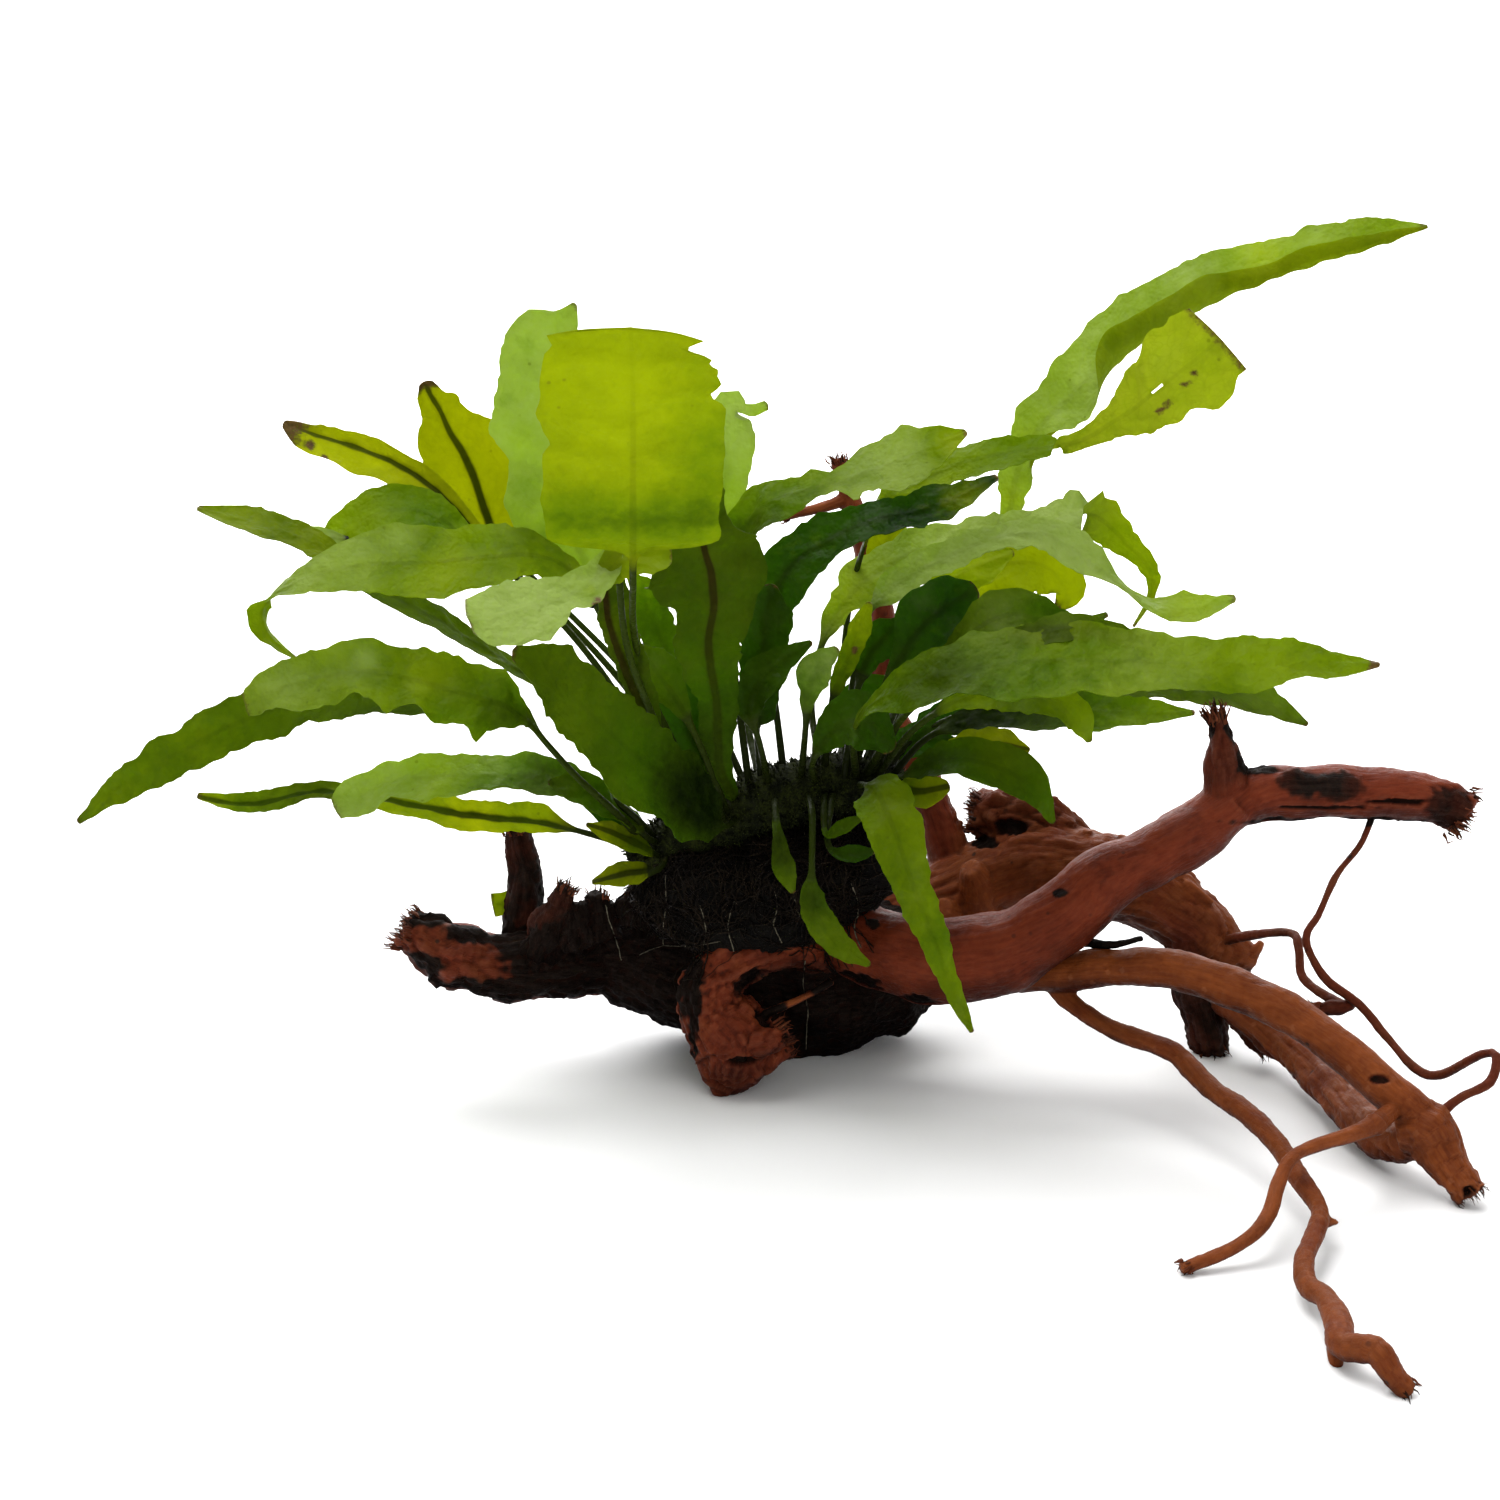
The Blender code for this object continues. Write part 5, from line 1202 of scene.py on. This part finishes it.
def creeping_root(chance, surface, row):
    """The middle line of one hair root, stepping over the surface from a random side of a row,
    and its radius."""
    angle = chance.uniform(0, 2 * math.pi)
    place = Vector(row[:3]) + Vector((chance.uniform(-2, 2) * MM,
                                      math.cos(angle) * row[3] * MM / 2,
                                      math.sin(angle) * row[3] * MM / 2))
    way = Vector((chance.uniform(-1, 1), chance.uniform(-1, 1), chance.uniform(-1.2, 0.3)))
    radius = chance.uniform(*HAIR_RADIUS) * MM
    lift = chance.uniform(*HAIR_LIFT) * MM
    steps = chance.randint(4, 8)
    middles = []
    for step in range(steps + 1):
        hit, normal, _, _ = surface.find_nearest(place)
        middles.append(hit + normal * lift * math.sin(math.pi * step / steps)
                       + normal * 0.05 * MM)
        way = way + any_way(chance, 0.7) + Vector((0, 0, -0.25))
        way = (way - normal * way.dot(normal)).normalized()
        place = hit + way * HAIR_STEP * MM
    return middles, radius


def add_thread(bm, middles, headings, radii):
    """Adds a thread to bm: three sides round each of its middles."""
    bent_blank(bm, [ring_round(middle, *axes_across(heading), radius, 3)
                    for middle, heading, radius in zip(middles, headings, radii)])


def make_threads(finishes):
    """The hair roots that creep over the mat and the wood, and the pale threads over those."""
    carrier = bmesh.new()
    for name in ("root_mat_core", *WOOD_PIECES):
        carrier.from_mesh(bpy.data.objects[name].data)
    surface = BVHTree.FromBMesh(carrier)
    carrier.free()

    hairs = bmesh.new()
    chance = random.Random(11)
    starts = evenly_spaced(rows_of(ROOT_MAT), 1.0 * MM)[0]
    for _ in range(HAIR_ROOTS):
        row = chance.choice(starts[:len(starts) * 3 // 4])
        middles, radius = creeping_root(chance, surface, row)
        across, down = pictured(middles[-1])
        if BARE_STUMP[0] < across < BARE_STUMP[1] and down > BARE_STUMP[2]:
            continue
        headings = directions(middles)
        for middle in middles:
            middle.z = max(middle.z, 0.2 * MM)
        add_thread(hairs, middles, headings, [radius] * len(middles))
    as_piece(hairs, "hair_roots", [], [finishes["hair"]])

    threads = bmesh.new()
    for number, route in enumerate(PALE_THREADS):
        middles = []
        for across, down, _ in smoothed([(*point, 0) for point in route], 5):
            near = seen(across, down, -30)
            hit, normal, _, _ = surface.ray_cast(near, (near - VIEW_POINT).normalized())
            if hit is not None:
                middles.append(hit + normal * 0.25 * MM)
        if len(middles) >= 3:
            add_thread(threads, middles, directions(middles),
                       [(0.11 + 0.05 * wander(step * 0.6, number)) * MM
                        for step in range(len(middles))])
    as_piece(threads, "pale_threads", [], [finishes["thread"]])


# ---------------------------------------------------------------- finishes


class Finish:
    """A material whose nodes are laid one after another."""

    def __init__(self, name):
        self.material = bpy.data.materials.new(name)
        self.material.use_nodes = True
        self.tree = self.material.node_tree
        self.shader = self.tree.nodes["Principled BSDF"]
        self.end = self.tree.nodes["Material Output"]

    def lay(self, kind, sockets=(), **settings):
        """A node with its settings, and with values or other nodes' sockets in its own."""
        node = self.tree.nodes.new("ShaderNode" + kind)
        for setting, value in settings.items():
            setattr(node, setting, value)
        for socket, value in dict(sockets).items():
            self.put(node, socket, value)
        return node

    def put(self, node, socket, value):
        """Sets a socket, or links it when the value is another node's socket."""
        if isinstance(value, bpy.types.NodeSocket):
            self.tree.links.new(value, node.inputs[socket])
        else:
            node.inputs[socket].default_value = value

    def surface(self, colour, roughness, specular, relief):
        """Gives the shader its colour, roughness, specular level and relief."""
        for socket, value in (("Base Color", colour), ("Roughness", roughness),
                              ("Specular IOR Level", specular), ("Normal", relief)):
            self.put(self.shader, socket, value)

    def noted(self, attribute):
        """The three colours and the alpha of a corner's note."""
        note = self.lay("Attribute", attribute_name=attribute).outputs
        return (*self.lay("SeparateColor", {0: note["Color"]}).outputs, note["Alpha"])

    def place(self, scale, attribute=None):
        """Coordinates on the piece, or on one of its attributes, at a scale."""
        if attribute:
            found = self.lay("Attribute", attribute_name=attribute).outputs["Vector"]
        else:
            found = self.lay("TexCoord").outputs["Object"]
        return self.scaled(found, (scale,) * 3)

    def scaled(self, coordinates, scale):
        """Coordinates stretched by a scale for each direction."""
        return self.lay("Mapping", {"Vector": coordinates, "Scale": scale}).outputs[0]

    def mottle(self, place, detail=4, low=0.35, high=0.65):
        """Cloudy noise from 0 to 1."""
        cloud = self.lay("TexNoise", {"Vector": place, "Scale": 1.0, "Detail": detail,
                                      "Roughness": 0.6})
        return self.spread(cloud.outputs[0], low, high)

    def cells(self, place, **kind):
        """How far each place is from the nearest of many scattered points, or cell edges."""
        return self.lay("TexVoronoi", {"Vector": place, "Scale": 1.0}, **kind).outputs[0]

    def spread(self, value, low, high, new_low=0.0, new_high=1.0):
        """A value stretched from one range to another, and kept within it."""
        return self.lay("MapRange", {0: value, 1: low, 2: high, 3: new_low,
                                     4: new_high}).outputs[0]

    def sum(self, operation, first, second=0.0):
        """One arithmetic step."""
        return self.lay("Math", {0: first, 1: second}, operation=operation).outputs[0]

    def times(self, first, second):
        """The product of two values."""
        return self.sum("MULTIPLY", first, second)

    def plus(self, first, second):
        """The sum of two values."""
        return self.sum("ADD", first, second)

    def minus(self, first, second):
        """The first value less the second."""
        return self.sum("SUBTRACT", first, second)

    def swing(self, value, most):
        """A value from 0 to 1 as one that swings round 0, over a range of most."""
        return self.times(self.minus(value, 0.5), most)

    def blend(self, share, first, second, way="MIX"):
        """Two colours mixed by a share."""
        first, second = [(*c, 1) if isinstance(c, tuple) and len(c) == 3 else c
                         for c in (first, second)]
        return self.lay("Mix", {0: share, 6: first, 7: second}, data_type="RGBA",
                        blend_type=way).outputs[2]

    def bump(self, height, distance, strength=1.0, below=None):
        """A bump of a real height, over another one."""
        sockets = {"Height": height, "Distance": distance, "Strength": strength}
        if below:
            sockets["Normal"] = below
        return self.lay("Bump", sockets).outputs[0]


# Painted light on the leaves: a pale, bluish sheen, and lime light shining through.
PAINTED_SHEEN, PAINTED_BACKLIGHT = (0.41, 0.51, 0.155), (0.35, 0.41, 0.005)
# Painted shade on the leaves, half and deep, and the light through them in painted shade.
HALF_SHADE_GREEN, DEEP_SHADE_GREEN = (0.055, 0.115, 0.001), (0.006, 0.014, 0.001)
THROUGH_IN_SHADE = (0.20, 0.42, 0.002)
STALK_FOOT, STALK_TOP = (0.005, 0.006, 0.001), (0.022, 0.036, 0.002)
DRY_DARK, DRY_LIGHT = (0.030, 0.018, 0.006), (0.14, 0.085, 0.02)
SPECK_BROWN = (0.03, 0.025, 0.006)
# Side veins on a blade's map: how many for each unit along, and how far they slant and wander.
SIDE_VEINS, VEIN_SLANT, VEIN_WANDER = 2.1, 2.6, 3.2
NET_CELLS = (7.0, 4.0, 1.0)     # of the net between them, for each unit
# Half a midrib's width on the map, where it stays dark to the tip and elsewhere.
WIDE_RIB, NARROW_RIB = 0.085, 0.055
# Above and below, each: deep green, light green, veins, midrib; then the light that comes
# through, the least roughness, the specular level, how much painted pale sheen it takes, and
# how dark the midrib is at the base and the tip. The lime and pale greens are partly painted
# light: lime light shining through, and a pale, bluish sheen.
LEAF_TONES = {
    "lime": (((0.165, 0.22, 0.001), (0.27, 0.335, 0.002), (0.31, 0.39, 0.01), (0.13, 0.17, 0.002)),
             ((0.28, 0.33, 0.012), (0.44, 0.48, 0.02), (0.20, 0.24, 0.006), (0.12, 0.14, 0.004)),
             (0.56, 0.62, 0.002), 0.42, 0.03, 0.2, (0.35, 0.05)),
    "fresh": (((0.080, 0.135, 0.001), (0.190, 0.265, 0.003), (0.24, 0.34, 0.012),
               (0.05, 0.075, 0.002)),
              ((0.085, 0.125, 0.002), (0.18, 0.225, 0.005), (0.09, 0.12, 0.003),
               (0.04, 0.045, 0.003)),
              (0.52, 0.68, 0.004), 0.32, 0.045, 0.52, (0.2, 0.0)),
    "pale": (((0.155, 0.235, 0.022), (0.28, 0.380, 0.060), (0.35, 0.46, 0.10),
              (0.12, 0.17, 0.015)),
             ((0.18, 0.23, 0.005), (0.28, 0.33, 0.01), (0.15, 0.19, 0.006), (0.08, 0.10, 0.005)),
             (0.56, 0.74, 0.025), 0.30, 0.06, 0.86, (0.12, 0.0)),
    "deep": (((0.005, 0.020, 0.001), (0.024, 0.060, 0.002), (0.035, 0.08, 0.005),
              (0.008, 0.012, 0.001)),
             ((0.02, 0.045, 0.002), (0.06, 0.10, 0.004), (0.03, 0.05, 0.003),
              (0.015, 0.018, 0.002)),
             (0.16, 0.36, 0.003), 0.27, 0.055, 0.35, (0.2, 0.0)),
    "olive": (((0.13, 0.165, 0.002), (0.24, 0.275, 0.003), (0.28, 0.33, 0.01),
               (0.05, 0.06, 0.002)),
              ((0.17, 0.20, 0.001), (0.30, 0.325, 0.003), (0.13, 0.145, 0.002),
               (0.035, 0.05, 0.002)),
              (0.70, 0.75, 0.003), 0.42, 0.03, 0.2, (0.95, 0.8)),
    "dusk": (((0.026, 0.046, 0.001), (0.075, 0.115, 0.002), (0.09, 0.14, 0.006),
              (0.02, 0.028, 0.001)),
             ((0.06, 0.09, 0.002), (0.12, 0.16, 0.004), (0.05, 0.06, 0.002),
              (0.016, 0.012, 0.001)),
             (0.36, 0.50, 0.003), 0.32, 0.035, 0.3, (0.25, 0.0)),
    "ribbed": (((0.018, 0.032, 0.001), (0.055, 0.080, 0.002), (0.065, 0.10, 0.005),
                (0.040, 0.026, 0.003)),
               ((0.06, 0.09, 0.002), (0.12, 0.15, 0.004), (0.05, 0.06, 0.002),
                (0.014, 0.008, 0.001)),
               (0.26, 0.38, 0.002), 0.34, 0.035, 0.25, (0.5, 0.97)),
    "mossy": (((0.10, 0.14, 0.001), (0.19, 0.24, 0.003), (0.22, 0.28, 0.01),
               (0.06, 0.08, 0.002)),
              ((0.135, 0.180, 0.001), (0.25, 0.295, 0.003), (0.14, 0.17, 0.002),
               (0.08, 0.10, 0.002)),
              (0.44, 0.54, 0.002), 0.40, 0.03, 0.25, (0.3, 0.0)),
}
# Tones whose underside has a dark midrib, and how dark each kind is at the base and the tip.
DARK_RIBBED = ("olive", "ribbed", "deep")
DARK_RIB, FAINT_RIB = (0.95, 0.8), (0.35, 0.1)
# The bark's colours, from the dark to the light of each.
RED_WOOD = (0.072, 0.010, 0.003), (0.195, 0.034, 0.011)
TAN_WOOD = (0.105, 0.021, 0.004), (0.275, 0.067, 0.014)
DARK_WOOD = (0.0018, 0.0014, 0.001), (0.013, 0.009, 0.007)
# Fibres' brown, and the painted shade in the hollows.
FIBRE_BROWN, HOLLOW_SHADE = (0.05, 0.014, 0.006), (0.022, 0.006, 0.003)
PIT_BLACK = (0.012, 0.008, 0.006)
# The painted shade under the limbs, and the lighter tint of worn edges.
UNDERSIDE_SHADE, WORN_TINT = (0.18, 0.10, 0.07), (0.42, 0.17, 0.09)
# Growth: its finish's name, its darkest and lightest colour, how rough it is, and how fine its
# clouds are.
GROWTH = {"moss": ("mossy_stem", (0.003, 0.004, 0.001), (0.045, 0.058, 0.008), 0.75, 300),
          "root_mat": ("matted_roots", (0.0015, 0.0013, 0.001), (0.010, 0.008, 0.005), 0.7, 350),
          "thread": ("pale_threads", (0.10, 0.09, 0.06), (0.42, 0.38, 0.28), 0.4, 300),
          "hair": ("hair_roots", (0.003, 0.002, 0.001), (0.030, 0.019, 0.010), 0.5, 200)}


def leaf_veins(f, blade, along, out, stalk):
    """Side veins that leave the midrib at a slant every few mm, with a net between them; and a
    saw that is 0 on each side vein and 0.5 halfway between two."""
    wobble = f.lay("TexNoise", {"Vector": blade, "Scale": 2.6, "Detail": 2.0}).outputs[0]
    slanting = f.minus(f.times(along, SIDE_VEINS), f.times(out, VEIN_SLANT))
    phase = f.plus(slanting, f.times(wobble, VEIN_WANDER))
    saw = f.sum("ABSOLUTE", f.minus(f.sum("FRACT", phase), 0.5))
    side_vein = f.spread(saw, 0.0, 0.05, 1.0, 0.0)
    net = f.cells(f.scaled(blade, NET_CELLS), feature="DISTANCE_TO_EDGE")
    net = f.spread(net, 0.0, 0.08, 1.0, 0.0)
    veins = f.sum("MAXIMUM", f.times(side_vein, 0.7), f.times(net, 0.45))
    return f.times(veins, f.minus(1.0, stalk)), saw


def leaf_finish(name, greens, through, rough, specular, sheen_share, rib_depths, below):
    """A blade's upper face, or with below its underside: mottled green with faint veins, a dark
    midrib, browned places, painted sheen, lime light and shade, and light that shines through."""
    f = Finish(name)
    deep, light, vein, rib = greens
    browned, grown, shade, cast = f.noted("marks")
    stalk = f.spread(grown, BLADE_MARK - 0.05, BLADE_MARK + 0.02, 1.0, 0.0)
    blade = f.lay("UVMap", uv_map="blade").outputs[0]
    across, along, _ = f.lay("SeparateXYZ", {0: blade}).outputs
    out = f.sum("ABSOLUTE", f.minus(across, 0.5))

    # Mottled green; painted pale sheen in places, and the painted sheen and lime light of its
    # spots.
    cloud = f.mottle(f.place(95), low=0.38, high=0.62)
    patch = f.mottle(f.place(420), low=0.35, high=0.75)
    colour = f.blend(f.times(patch, 0.35), f.blend(cloud, deep, light), deep)
    uneven_light = f.plus(cast, f.swing(patch, 0.12))
    sheen_spots = f.mottle(f.place(170), detail=3, low=0.52, high=0.68)
    sheen_spots = f.times(sheen_spots, 0.0 if below else 0.5 * sheen_share ** 2)
    pale = f.sum("MINIMUM", f.plus(f.spread(uneven_light, 0.47, 0.0), sheen_spots), 1.0)
    pale = f.times(pale, sheen_share)
    colour = f.blend(pale, colour, PAINTED_SHEEN)
    colour = f.blend(f.spread(uneven_light, 0.53, 1.0), colour, PAINTED_BACKLIGHT)

    veins, saw = leaf_veins(f, blade, along, out, stalk)
    colour = f.blend(f.times(veins, 0.55 if below else 0.30), colour, vein)
    # Painted light: lighter between the side veins, on the bulges there.
    between = f.times(f.spread(saw, 0.1, 0.45), f.minus(1.0, stalk))
    colour = f.blend(f.times(between, 0.22), colour, light)
    rib_width = WIDE_RIB if rib_depths[1] > 0.7 else NARROW_RIB
    rib_reach = f.spread(grown, BLADE_MARK, 1.0, rib_width, rib_width * 0.55)
    midrib = f.spread(f.sum("DIVIDE", out, rib_reach), 0.7, 1.25, 1.0, 0.0)
    midrib = f.times(midrib, f.spread(grown, BLADE_MARK, 0.9, *rib_depths))
    colour = f.blend(midrib, colour, rib)

    # Painted shade, darker where it is shaded; a dark stalk; brown specks and dry, brown places.
    shadow = f.plus(shade, f.swing(patch, 0.15))
    half_shade, deep_shade = f.spread(shadow, 0.03, 0.5, 0.0, 0.85), f.spread(shadow, 0.4, 1.0, 0.0, 0.95)
    colour = f.blend(deep_shade, f.blend(half_shade, colour, f.blend(0.75, colour, HALF_SHADE_GREEN)), DEEP_SHADE_GREEN)
    colour = f.blend(stalk, colour, f.blend(f.spread(along, 0.3, 2.6), STALK_FOOT, STALK_TOP))
    specks = f.times(f.spread(f.cells(f.place(330)), 0.07, 0.13, 1.0, 0.0),
                     f.mottle(f.place(80), low=0.52, high=0.6))
    colour = f.blend(f.times(specks, 0.6), colour, SPECK_BROWN)
    torn = f.mottle(f.place(1300), detail=5, low=0.2, high=0.8)
    dry = f.times(f.spread(f.plus(browned, f.swing(torn, 0.5)), 0.25, 0.6),
                  f.spread(browned, 0.02, 0.15))
    colour = f.blend(dry, colour, f.blend(torn, DRY_DARK, DRY_LIGHT))

    relief = f.bump(f.mottle(f.place(190), detail=3, low=0.2, high=0.8), 1.2 * MM, 0.7)
    relief = f.bump(f.spread(saw, 0.0, 0.5), 0.10 * MM, 0.6, relief)
    relief = f.bump(veins, 0.08 * MM if below else -0.03 * MM, 0.6, relief)
    relief = f.bump(f.mottle(f.place(1800), detail=3), 0.04 * MM, 0.5, relief)
    f.surface(colour, f.spread(f.mottle(f.place(260)), 0.0, 1.0, rough, rough + 0.2), specular,
              relief)

    # The light that passes through, less where it is dry or brown; painted shade and sheen tint
    # it.
    through = f.blend(f.times(half_shade, 0.8), through, THROUGH_IN_SHADE)
    through = f.blend(0.4, f.blend(f.times(pale, 0.7), through, PAINTED_SHEEN), colour)
    glow = f.blend(f.sum("MAXIMUM", midrib, dry), f.blend(deep_shade, through, DEEP_SHADE_GREEN), rib)
    passing = f.lay("BsdfTranslucent", {"Color": glow, "Normal": relief})
    share = f.times(f.minus(1.0, f.sum("MAXIMUM", dry, stalk)), 0.55)
    both = f.lay("MixShader", {0: share, 1: f.shader.outputs[0], 2: passing.outputs[0]})
    f.put(f.end, "Surface", both.outputs[0])
    return f.material


def bark_finish():
    """Driftwood: grain streaks in the three barks' colours, with painted shade in grooves and
    below.
    """
    f = Finish("driftwood_bark")
    _, tan, dark, under = f.noted("bark")
    fibre = f.mottle(f.place(60, "grain"), detail=6, low=0.25, high=0.75)
    streak = f.mottle(f.place(22, "grain"))
    cloud = f.mottle(f.place(110), low=0.35, high=0.7)
    grit = f.mottle(f.place(1500), low=0.3, high=0.75)
    ragged = f.minus(cloud, 0.5)
    light = f.plus(f.times(cloud, 0.6), f.times(streak, 0.4))
    colour = f.blend(f.spread(f.plus(tan, f.times(ragged, 0.5)), 0.15, 0.75),
                     f.blend(light, *RED_WOOD), f.blend(light, *TAN_WOOD))
    colour = f.blend(f.spread(f.plus(dark, f.times(ragged, 0.35)), 0.05, 0.75),
                     colour, f.blend(streak, *DARK_WOOD))
    colour = f.blend(f.times(fibre, f.plus(f.times(tan, 0.14), 0.08)), colour, FIBRE_BROWN)
    # Painted shade on the undersides.
    colour = f.blend(f.spread(f.plus(under, f.times(ragged, 0.3)), 0.1, 1.0), colour,
                     UNDERSIDE_SHADE, "MULTIPLY")
    # Painted shade in the hollows, where the surface curves in; worn, lighter edges where it
    # curves out.
    folded = f.lay("NewGeometry").outputs["Pointiness"]
    colour = f.blend(f.times(f.spread(folded, 0.44, 0.5, 1.0, 0.0), 0.5), colour, HOLLOW_SHADE)
    worn = f.times(f.spread(folded, 0.5, 0.58), f.times(f.minus(1.0, dark), 0.12))
    colour = f.blend(worn, colour, WORN_TINT, "SCREEN")
    pit = f.times(f.spread(f.cells(f.place(260)), 0.08, 0.15, 1.0, 0.0),
                  f.mottle(f.place(70), low=0.5, high=0.58))
    colour = f.blend(f.times(pit, 0.8), colour, PIT_BLACK)
    relief = f.bump(fibre, 0.25 * MM, f.spread(dark, 0.0, 0.8, 0.3, 0.9))
    relief = f.bump(streak, 0.3 * MM, 0.3, relief)
    relief = f.bump(grit, 0.12 * MM, f.spread(dark, 0.0, 0.8, 0.35, 0.8), relief)
    f.surface(colour, f.spread(f.plus(grit, f.times(dark, 0.5)), 0.0, 1.5, 0.38, 0.85),
              f.spread(dark, 0.1, 0.8, 0.07, 0.03), relief)
    return f.material


def growth_finish(name, deep, light, rough, scale):
    """Wet, matted growth, from a deep colour to a light one."""
    f = Finish(name)
    cloud = f.mottle(f.place(scale), detail=5, low=0.35, high=0.7)
    fine = f.mottle(f.place(scale * 7), low=0.3, high=0.75)
    f.surface(f.blend(f.times(cloud, fine), deep, light),
              f.spread(fine, 0.0, 1.0, rough - 0.15, rough + 0.15), 0.07,
              f.bump(fine, 0.35 * MM, 0.9))
    return f.material


def mix_finishes():
    """Every finish by name."""
    finishes = {"bark": bark_finish(),
                **{key: growth_finish(*growth) for key, growth in GROWTH.items()}}
    for tone, (above, below, through, rough, specular, sheen_share, rib_above) in LEAF_TONES.items():
        rib_below = DARK_RIB if tone in DARK_RIBBED else FAINT_RIB
        finishes[tone + "_above"] = leaf_finish(tone + "_leaf_above", above, through, rough,
                                                specular, sheen_share, rib_above, False)
        finishes[tone + "_below"] = leaf_finish(tone + "_leaf_below", below, through,
                                                rough + 0.15, specular, sheen_share, rib_below, True)
    return finishes


# ---------------------------------------------------------------- stage


def lay_floor():
    """A pale floor that sweeps up behind."""
    bm = bmesh.new()
    bmesh.ops.create_grid(bm, x_segments=1, y_segments=60, size=FLOOR_REACH)
    for corner in bm.verts:
        past = corner.co.y - SWEEP_START
        if past > 0:
            angle = min(past / SWEEP_RADIUS, math.pi / 2)
            corner.co.y = SWEEP_START + SWEEP_RADIUS * math.sin(angle)
            corner.co.z = SWEEP_RADIUS * (1 - math.cos(angle)) \
                + max(past - SWEEP_RADIUS * math.pi / 2, 0)
        corner.co.z -= FLOOR_GAP
    floor = put_in_scene("floor", as_mesh(bm, "floor"))
    floor.data.shade_smooth()
    paper = Finish("pale_paper")
    tint = paper.blend(paper.mottle(paper.place(3)), (0.90, 0.90, 0.90), (0.93, 0.93, 0.93))
    paper.put(paper.shader, "Base Color", tint)
    paper.put(paper.shader, "Roughness", 0.9)
    floor.data.materials.append(paper.material)


def light_room():
    """Soft lights, and a white room that is brighter behind."""
    for name, place, aimed_at, (width, height), power in SOFT_LIGHTS:
        lamp = bpy.data.lights.new(name, "AREA")
        lamp.shape = "RECTANGLE"
        lamp.size, lamp.size_y = width, height
        lamp.energy = power
        light = put_in_scene(name, lamp)
        light.location = place
        light.visible_camera = False
        aim = Vector(aimed_at) - Vector(place)
        light.rotation_euler = aim.to_track_quat("-Z", "Y").to_euler()

    world = bpy.data.worlds.new("white_room")
    world.use_nodes = True
    nodes, links = world.node_tree.nodes, world.node_tree.links
    sky = nodes["Background"]
    split = nodes.new("ShaderNodeSeparateXYZ")
    fade = nodes.new("ShaderNodeMapRange")
    for socket, value in zip(fade.inputs[1:5], (-1, 1, *ROOM_LIGHT)):
        socket.default_value = value
    links.new(nodes.new("ShaderNodeTexCoord").outputs["Generated"], split.inputs[0])
    links.new(split.outputs["Y"], fade.inputs[0])
    links.new(fade.outputs[0], sky.inputs["Strength"])
    sky.inputs["Color"].default_value = (1, 1, 1, 1)
    bpy.context.scene.world = world
    bpy.context.scene.view_settings.view_transform = "Standard"


def place_camera():
    """The front view."""
    camera = bpy.data.cameras.new("front_view")
    camera.sensor_width = SENSOR
    camera.lens = SENSOR * VIEW_FOCAL / (2 * VIEW_CENTRE)
    view = put_in_scene("front_view", camera)
    view.location = VIEW_POINT
    view.rotation_euler = (math.pi / 2 - VIEW_PITCH, 0, 0)
    bpy.context.scene.camera = view


def main():
    """Dresses the frame."""
    lay_floor()
    light_room()
    place_camera()
    finishes = mix_finishes()
    make_wood(finishes)
    make_rhizome(finishes)
    make_root_mat(finishes)
    make_threads(finishes)
    grow_fern(finishes)


main()
